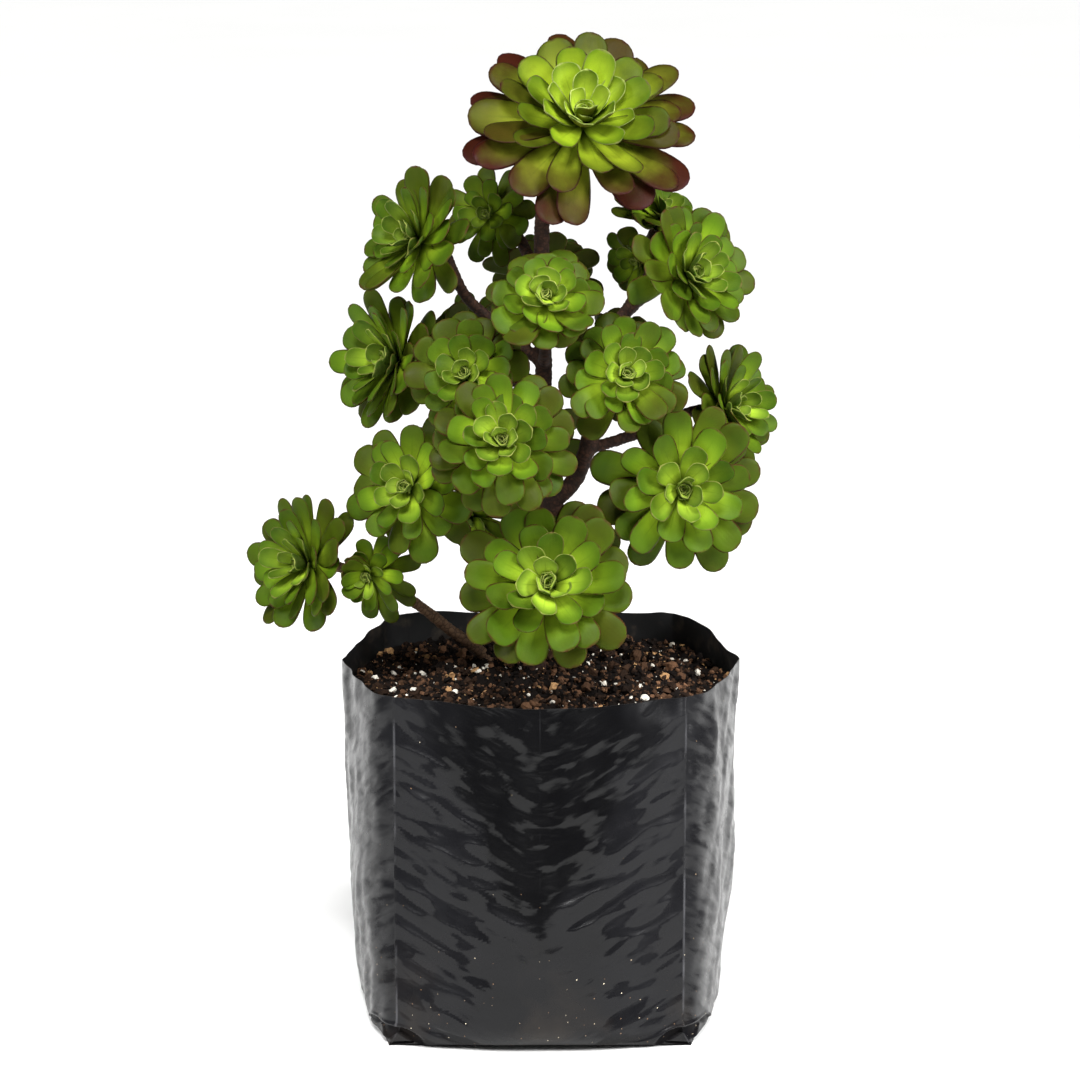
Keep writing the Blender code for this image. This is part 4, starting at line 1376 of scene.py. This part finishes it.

# A succulent leaf: a dull waxy skin over wet green tissue, so light glows a little through it. It is
# yellow-green towards the root and deeper at the tip, partly its own colour and partly painted light
# and painted shade, with a pale edge when young and a brown one when old, and old leaves flush red
# from the tip. Painted shade also darkens its root under the next leaves, its edges and underside,
# and the lowest leaves of the top head.
LEAF_RECIPE = (
    # Lighter yellow-green towards the root: partly the leaf's own colour, partly painted light for the glow
    # of light passing through the tissue
    ("root", "map", "along", 0.3, 0.85, 0.7, 0),
    ("green", "mix", "root", "green", "#A6C22E"),
    # Painted shade: the root is darkened where the next leaves lie over it
    ("stained", "map", "along", 0.5, 0.25, 0, 0.75),
    ("full", "map", "age", 0.05, 0.2, 0, 1),
    ("stained", "MULTIPLY", "stained", "full"),
    ("green", "mix", "stained", "green", "#1A2606"),
    # Deeper green towards the tip: partly the leaf's own colour, partly painted shade
    ("deep", "map", "along", 0.5, 0.95, 0, 0.72),
    ("grown", "map", "age", 0, 0.15, 0.2, 1),
    ("deep", "MULTIPLY", "deep", "grown"),
    ("green", "mix", "deep", "green", "#28400A"),
    # Each leaf a little lighter or darker, and cloudy at 12 mm
    ("cloud", "noise", "place", 85, 4),
    ("cloud", "ADD", "cloud", "tone"),
    ("shade", "map", "cloud", 0.55, 1.45, 0, 0.7),
    ("green", "mix", "shade", "green", "#203206"),
    # The underside is duller and darker: partly its own colour, partly painted shade for the gaps where
    # undersides show
    ("under", "map", "face", 0.1, -0.3, 0, 0.8),
    ("green", "mix", "under", "green", "underside"),
    # Darker towards the edges: partly the leaf's own colour, partly painted shade
    ("blunt", "ABSOLUTE", "face"),
    ("outer", "map", "blunt", 0.95, 0.3, 0, 0.75),
    ("outer", "MULTIPLY", "outer", "along"),
    ("green", "mix", "outer", "green", "#294606"),
    # A faint dark midline from the root to near the tip
    ("middle", "ABSOLUTE", "across"),
    ("middle", "map", "middle", 0.07, 0, 0, 0.3),
    ("ending", "map", "along", 0.9, 0.6, 0, 1),
    ("middle", "MULTIPLY", "middle", "ending"),
    ("green", "mix", "middle", "green", "#294606"),
    # The red flush of old leaves, from the tip down and from the edges in
    ("spread", "MULTIPLY", "across", "across"),
    ("spread", "MULTIPLY_ADD", "spread", 0.3, "along"),
    ("spread", "ADD", "spread", "shade"),
    ("spread", "map", "spread", 0.74, 1.35, 0, 1),
    ("old", "map", "age", 0.4, 0.85, 0, "flush strength"),
    ("part", "MULTIPLY", "spread", "old"),
    ("green", "mix", "part", "green", "flush"),
    # Painted shade: the lowest leaves of the top head, hanging in the head's own shade, are darkened below a
    # height
    ("height", "split", "place"),
    ("hanging", "map", "height.Z", 0.492, 0.462, 0, "hanging strength"),
    ("green", "mix", "hanging", "green", "#2A140C"),
    # The edge: a line under 1 mm wide, pale on young leaves and brown on old ones
    ("edge", "map", "blunt", 0.46, 0.18, 0, 1),
    ("tip", "map", "along", 0.975, 0.995, 0, 1),
    ("edge", "MAXIMUM", "edge", "tip"),
    ("start", "map", "along", 0.3, 0.6, 0, 1),
    ("edge", "MULTIPLY", "edge", "start"),
    ("broken", "noise", "place", 260, 2),
    ("broken", "map", "broken", 0.35, 0.6, 0.35, 0.95),
    ("edge", "MULTIPLY", "edge", "broken"),
    ("aged", "map", "age", 0.12, 0.42, 0, 1),
    ("line", "mix", "aged", "young edge", "old edge"),
    ("Base Color", "mix", "edge", "green", "line"),
    ("wax", "noise", "place", 160, 4),
    ("Roughness", "map", "wax", 0.3, 0.7, 0.36, 0.5),
    # Skin texture of 0.7 mm, and lengthwise veins
    ("pores", "noise", "place", 1400, 2),
    ("veins", "MULTIPLY", "across", 26),
    ("veins", "COSINE", "veins"),
    ("skin", "MULTIPLY_ADD", "veins", 0.12, "pores"),
    ("Normal", "bump", 0.12, 0.0005, None, "skin"),
)


def leaf_material(name, ages, **tints):
    """A leaf of the recipe, with its greens by age and the other colours and strengths it takes."""
    ramp = []
    for (low, _), (high, code) in zip(ages, ages[1:]):
        ramp += [("part", "map", "age", low, high, 0, 1), ("green", "mix", "part", "green", code)]
    values = {label.replace("_", " "): value_of(tint, {}) for label, tint in tints.items()}
    return new_material(
        name, (*OWN_VALUES, "age", "tone"), {"green": linear(ages[0][1]), **values}, (*ramp, *LEAF_RECIPE),
        IOR=1.42, Specular_IOR_Level=0.055, Subsurface_Weight=0.06, Subsurface_Radius=(0.6, 1.0, 0.25),
        Subsurface_Scale=0.003)


# The stage

CAMERA_PLACE = (0, -1.9, 0.705)
CAMERA_DOWN = math.radians(12.98)
CAMERA_LENS = 116.2
FLOOR_SIZE = 60

OVERHEAD_SPREAD = math.radians(22)
OVERHEAD_TURN = (math.radians(36), math.radians(-3), 0)

# Each softbox: its name, place, size across and down in metres, and share of the side power, or 0
# for the key light's power
SOFTBOXES = (
    ("front_softbox", (-0.7, -1.5, 1.6), (1.2, 0.9), 0),
    ("left_softbox", (-1.25, -0.8, 1.25), (0.6, 0.9), 0.75),
    ("right_softbox", (1.1, -0.7, 1.1), (0.6, 0.9), 1.5),
)

# Matte painted board, with a faint unevenness so that the light falls softly on it
BOARD_RECIPE = (
    ("cloud", "noise", "place", 2, 3),
    ("part", "map", "cloud", 0.4, 0.7, 0, 0.05),
    ("Base Color", "mix", "part", "floor_colour", "#D2D2D0"),
)


# The operators

class GrowBag(Operator):
    """Make the rippled film bag in place of the plain one"""
    bl_idname = "succulent.grow_bag"
    bl_label = "Grow bag"

    def execute(self, context):
        settings = context.scene.succulent_bag
        mesh = film_mesh(settings)
        given = values_of(settings)
        measured = ("flow", "from_fold", "slack", "haze", "shaded")
        mesh.materials.append(new_material("blown_polythene_film", measured, given, FILM_RECIPE, IOR=1.51))
        mesh.materials.append(new_material(
            "soiled_polythene_film", (), given, SOILED_FILM_RECIPE, IOR=1.51, Roughness=0.62))
        mesh.shade_smooth()
        mesh.set_sharp_from_angle(angle=math.radians(70))
        bag = place_object("grow_bag_film", mesh)
        settle(bag, "bag_film", "grow_bag")
        return {"FINISHED"}


class PottingMix(Operator):
    """Make the crumbly soil with its crumbs, white grains and bark chips"""
    bl_idname = "succulent.potting_mix"
    bl_label = "Potting mix"

    def execute(self, context):
        settings, bag_settings = context.scene.succulent_soil, context.scene.succulent_bag
        peat = new_material(
            "moist_peat_mix", ("tone",), values_of(settings), PEAT_RECIPE,
            IOR=1.4, Roughness=0.9, Specular_IOR_Level=0.2)
        white = new_material("expanded_perlite", ("tone",), {
            "light": settings.perlite_colour, "dark": linear("#A79D8C")}, LOOSE_RECIPE, Roughness=0.85)
        tan = new_material("bark_and_grit", ("tone",), {
            "light": settings.chip_colour, "dark": linear("#6B4A2C")}, LOOSE_RECIPE, Roughness=0.8)
        ground = soil_mesh(settings, bag_settings)
        ground.materials.append(peat)
        body = place_object("potting_mix_body", ground)
        body.data.shade_smooth()
        settle(body, "potting_mix", "potting_mix")
        tree = new_tree("loose grains", GRAIN_MEASURES, GRAIN_COUNTS, GRAIN_RECIPE)
        # Each kind of grain: its material, and its numbers in the order of the tree's inputs
        kinds = {
            "soil_crumbs": (peat, 26000, 0.8 * MM, settings.crumb, 0.75, 3.2, 0.3, 2, 4),
            "fine_crumbs": (peat, 125000, 0.6 * MM, 1.9 * MM, 0.8, 2.2, 0.4, 1, 11),
            "perlite_grains": (white, 7500, 0.35 * MM, settings.perlite, 0.8, 1.6, 0.5, 2, 21),
            "bark_chips": (tan, 3400, 0.5 * MM, 3.0 * MM, 0.6, 2.0, 0.5, 2, 33),
        }
        for name, (material, *numbers) in kinds.items():
            values = dict(zip((*GRAIN_MEASURES, *GRAIN_COUNTS), numbers), Material=material)
            settle(grown(name, ground.copy(), tree, values), "potting_mix")
        return {"FINISHED"}


class Stems(Operator):
    """Make the two woody stems with their branches and leaf scars"""
    bl_idname = "succulent.stems"
    bl_label = "Stems"

    def execute(self, context):
        settings = context.scene.succulent_stems
        tubes = wood(FINE_STEP, FINE_STEP)
        tree = new_tree("woody stem", ("Voxel", "Scar Depth", "Scar Spacing"), (), STEM_RECIPE)
        # Each stem: its slot, its bark's name, and the bark's own, mottled and furrowed colours
        kinds = {
            "main_stem": ("bark", "corky_old_bark", settings.bark_colour, "#4A2E1E", "#120904"),
            "left_stem": ("young_bark", "corky_young_bark", settings.young_colour, "#735A42", "#271A11"),
        }
        for stem, (slot, name, base, light, dark) in kinds.items():
            tints = {"base": base, "light": linear(light), "dark": linear(dark)}
            bark = new_material(
                name, ("bark_place",), tints, BARK_RECIPE, Roughness=0.78, Specular_IOR_Level=0.25)
            mesh = stem_mesh(stem, [tube for tube in tubes if tube.stem == stem])
            piece = grown(stem + "_wood", mesh, tree, {
                "Voxel": settings.voxel, "Scar Depth": settings.scar_depth,
                "Scar Spacing": settings.scar_spacing, "Material": bark})
            settle(piece, slot, stem)
        return {"FINISHED"}


class Rosettes(Operator):
    """Make every rosette's leaves in place of its plain ones"""
    bl_idname = "succulent.rosettes"
    bl_label = "Rosettes"

    def execute(self, context):
        settings = context.scene.succulent_leaves
        tubes = wood(STEM_STEP, BRANCH_STEP)
        green = leaf_material(
            "waxy_leaf", LEAF_AGES, underside="#38421C", young_edge="#868C46", old_edge="#361E10",
            flush="#4C2A12", flush_strength=0.2, hanging_strength=0.0)
        top = leaf_material(
            "waxy_flushed_leaf", TOP_AGES, underside="#35200F", young_edge="#98A45A", old_edge="#2C1012",
            flush="#2C1008", flush_strength=1.0, hanging_strength=0.55)
        tree = new_tree("rosette of leaves", BLADE_MEASURES, BLADE_COUNTS, BLADE_RECIPE)
        for rosette in ROSETTES:
            first = rosette.name == "rosette_top"
            piece = grown(rosette.name + "_leaves", rosette_mesh(rosette, tubes), tree, {
                "Stations": settings.stations, "Sides": settings.sides, "Thickness": settings.thickness,
                "Widest": WIDEST, "Root Width": ROOT_WIDTH, "Roundness": ROUNDNESS, "Tip": settings.tip,
                "Unevenness": settings.ripple, "Material": top if first else green})
            piece.data.transform(frame_of(rosette))
            settle(piece, "leaf_top" if first else "leaf", rosette.name)
        return {"FINISHED"}


class Stage(Operator):
    """Make the floor, the softboxes, the surround and the camera"""
    bl_idname = "succulent.stage"
    bl_label = "Stage"

    def execute(self, context):
        settings, scene = context.scene.succulent_stage, context.scene
        half = FLOOR_SIZE / 2
        corners = [(-half, -half, 0), (half, -half, 0), (half, half, 0), (-half, half, 0)]
        board = mesh_of("floor", corners, [(0, 1, 2, 3)])
        board.materials.append(new_material(
            "matte_painted_board", (), values_of(settings), BOARD_RECIPE, Roughness=0.9))
        place_object("floor", board)
        aim = (Vector(CAD_BOX[0]) + Vector(CAD_BOX[1])) / 2
        for name, place, size, side in SOFTBOXES:
            light = bpy.data.lights.new(name, "AREA")
            light.shape = "RECTANGLE"
            light.size, light.size_y = size
            light.energy = settings.side_power * side or settings.key_power
            box = place_object(name, light)
            box.location = place
            box.rotation_euler = (aim - Vector(place)).to_track_quat("-Z", "Y").to_euler()
        wide = bpy.data.lights.new("overhead_light", "SUN")
        wide.energy = settings.overhead
        wide.angle = OVERHEAD_SPREAD
        place_object("overhead_light", wide).rotation_euler = OVERHEAD_TURN
        world = bpy.data.worlds.new("pale_room")
        world.use_nodes = True
        tree = world.node_tree
        known = {"towards": add(tree, "ShaderNodeTexCoord").outputs["Generated"]}
        follow(tree, known, (
            # The room is pale just above the floor's far edge and dim further up
            ("towards", "split", "towards"),
            ("strength", "map", "towards.Z", 0, 0.2, 0.9, settings.surround),
        ))
        background = tree.nodes["Background"]
        background.inputs["Color"].default_value = (1, 1, 1, 1)
        tree.links.new(known["strength"], background.inputs["Strength"])
        scene.world = world
        scene.view_settings.view_transform = "Standard"
        lens = bpy.data.cameras.new("camera")
        lens.lens = CAMERA_LENS
        camera = place_object("camera", lens)
        camera.location = CAMERA_PLACE
        camera.rotation_euler = (math.pi / 2 - CAMERA_DOWN, 0, 0)
        scene.camera = camera
        return {"FINISHED"}


class SucculentPanel(Panel):
    """Lists what can be made, with its settings"""
    bl_idname = "VIEW3D_PT_succulent"
    bl_label = "Potted succulent"
    bl_space_type = "VIEW_3D"
    bl_region_type = "UI"
    bl_category = "Succulent"

    def draw(self, context):
        for maker, _, label in MAKERS:
            box = self.layout.box()
            settings = getattr(context.scene, label)
            for name in settings.__annotations__:
                box.prop(settings, name)
            box.operator(maker.bl_idname)


# What the panel lists: each operator, its settings, and the scene's name for them
MAKERS = (
    (GrowBag, BagSettings, "succulent_bag"),
    (PottingMix, SoilSettings, "succulent_soil"),
    (Stems, StemSettings, "succulent_stems"),
    (Rosettes, LeafSettings, "succulent_leaves"),
    (Stage, StageSettings, "succulent_stage"),
)
CLASSES = (*(group for _, group, _ in MAKERS), *(maker for maker, _, _ in MAKERS), SucculentPanel)


def register():
    for cls in CLASSES:
        bpy.utils.register_class(cls)
    for _, group, label in MAKERS:
        setattr(bpy.types.Scene, label, PointerProperty(type=group))


def unregister():
    for _, _, label in MAKERS:
        delattr(bpy.types.Scene, label)
    for cls in reversed(CLASSES):
        bpy.utils.unregister_class(cls)


def main():
    register()
    bpy.ops.succulent.stage()
    bpy.ops.succulent.grow_bag()
    bpy.ops.succulent.potting_mix()
    bpy.ops.succulent.stems()
    bpy.ops.succulent.rosettes()


if __name__ == "__main__":
    main()
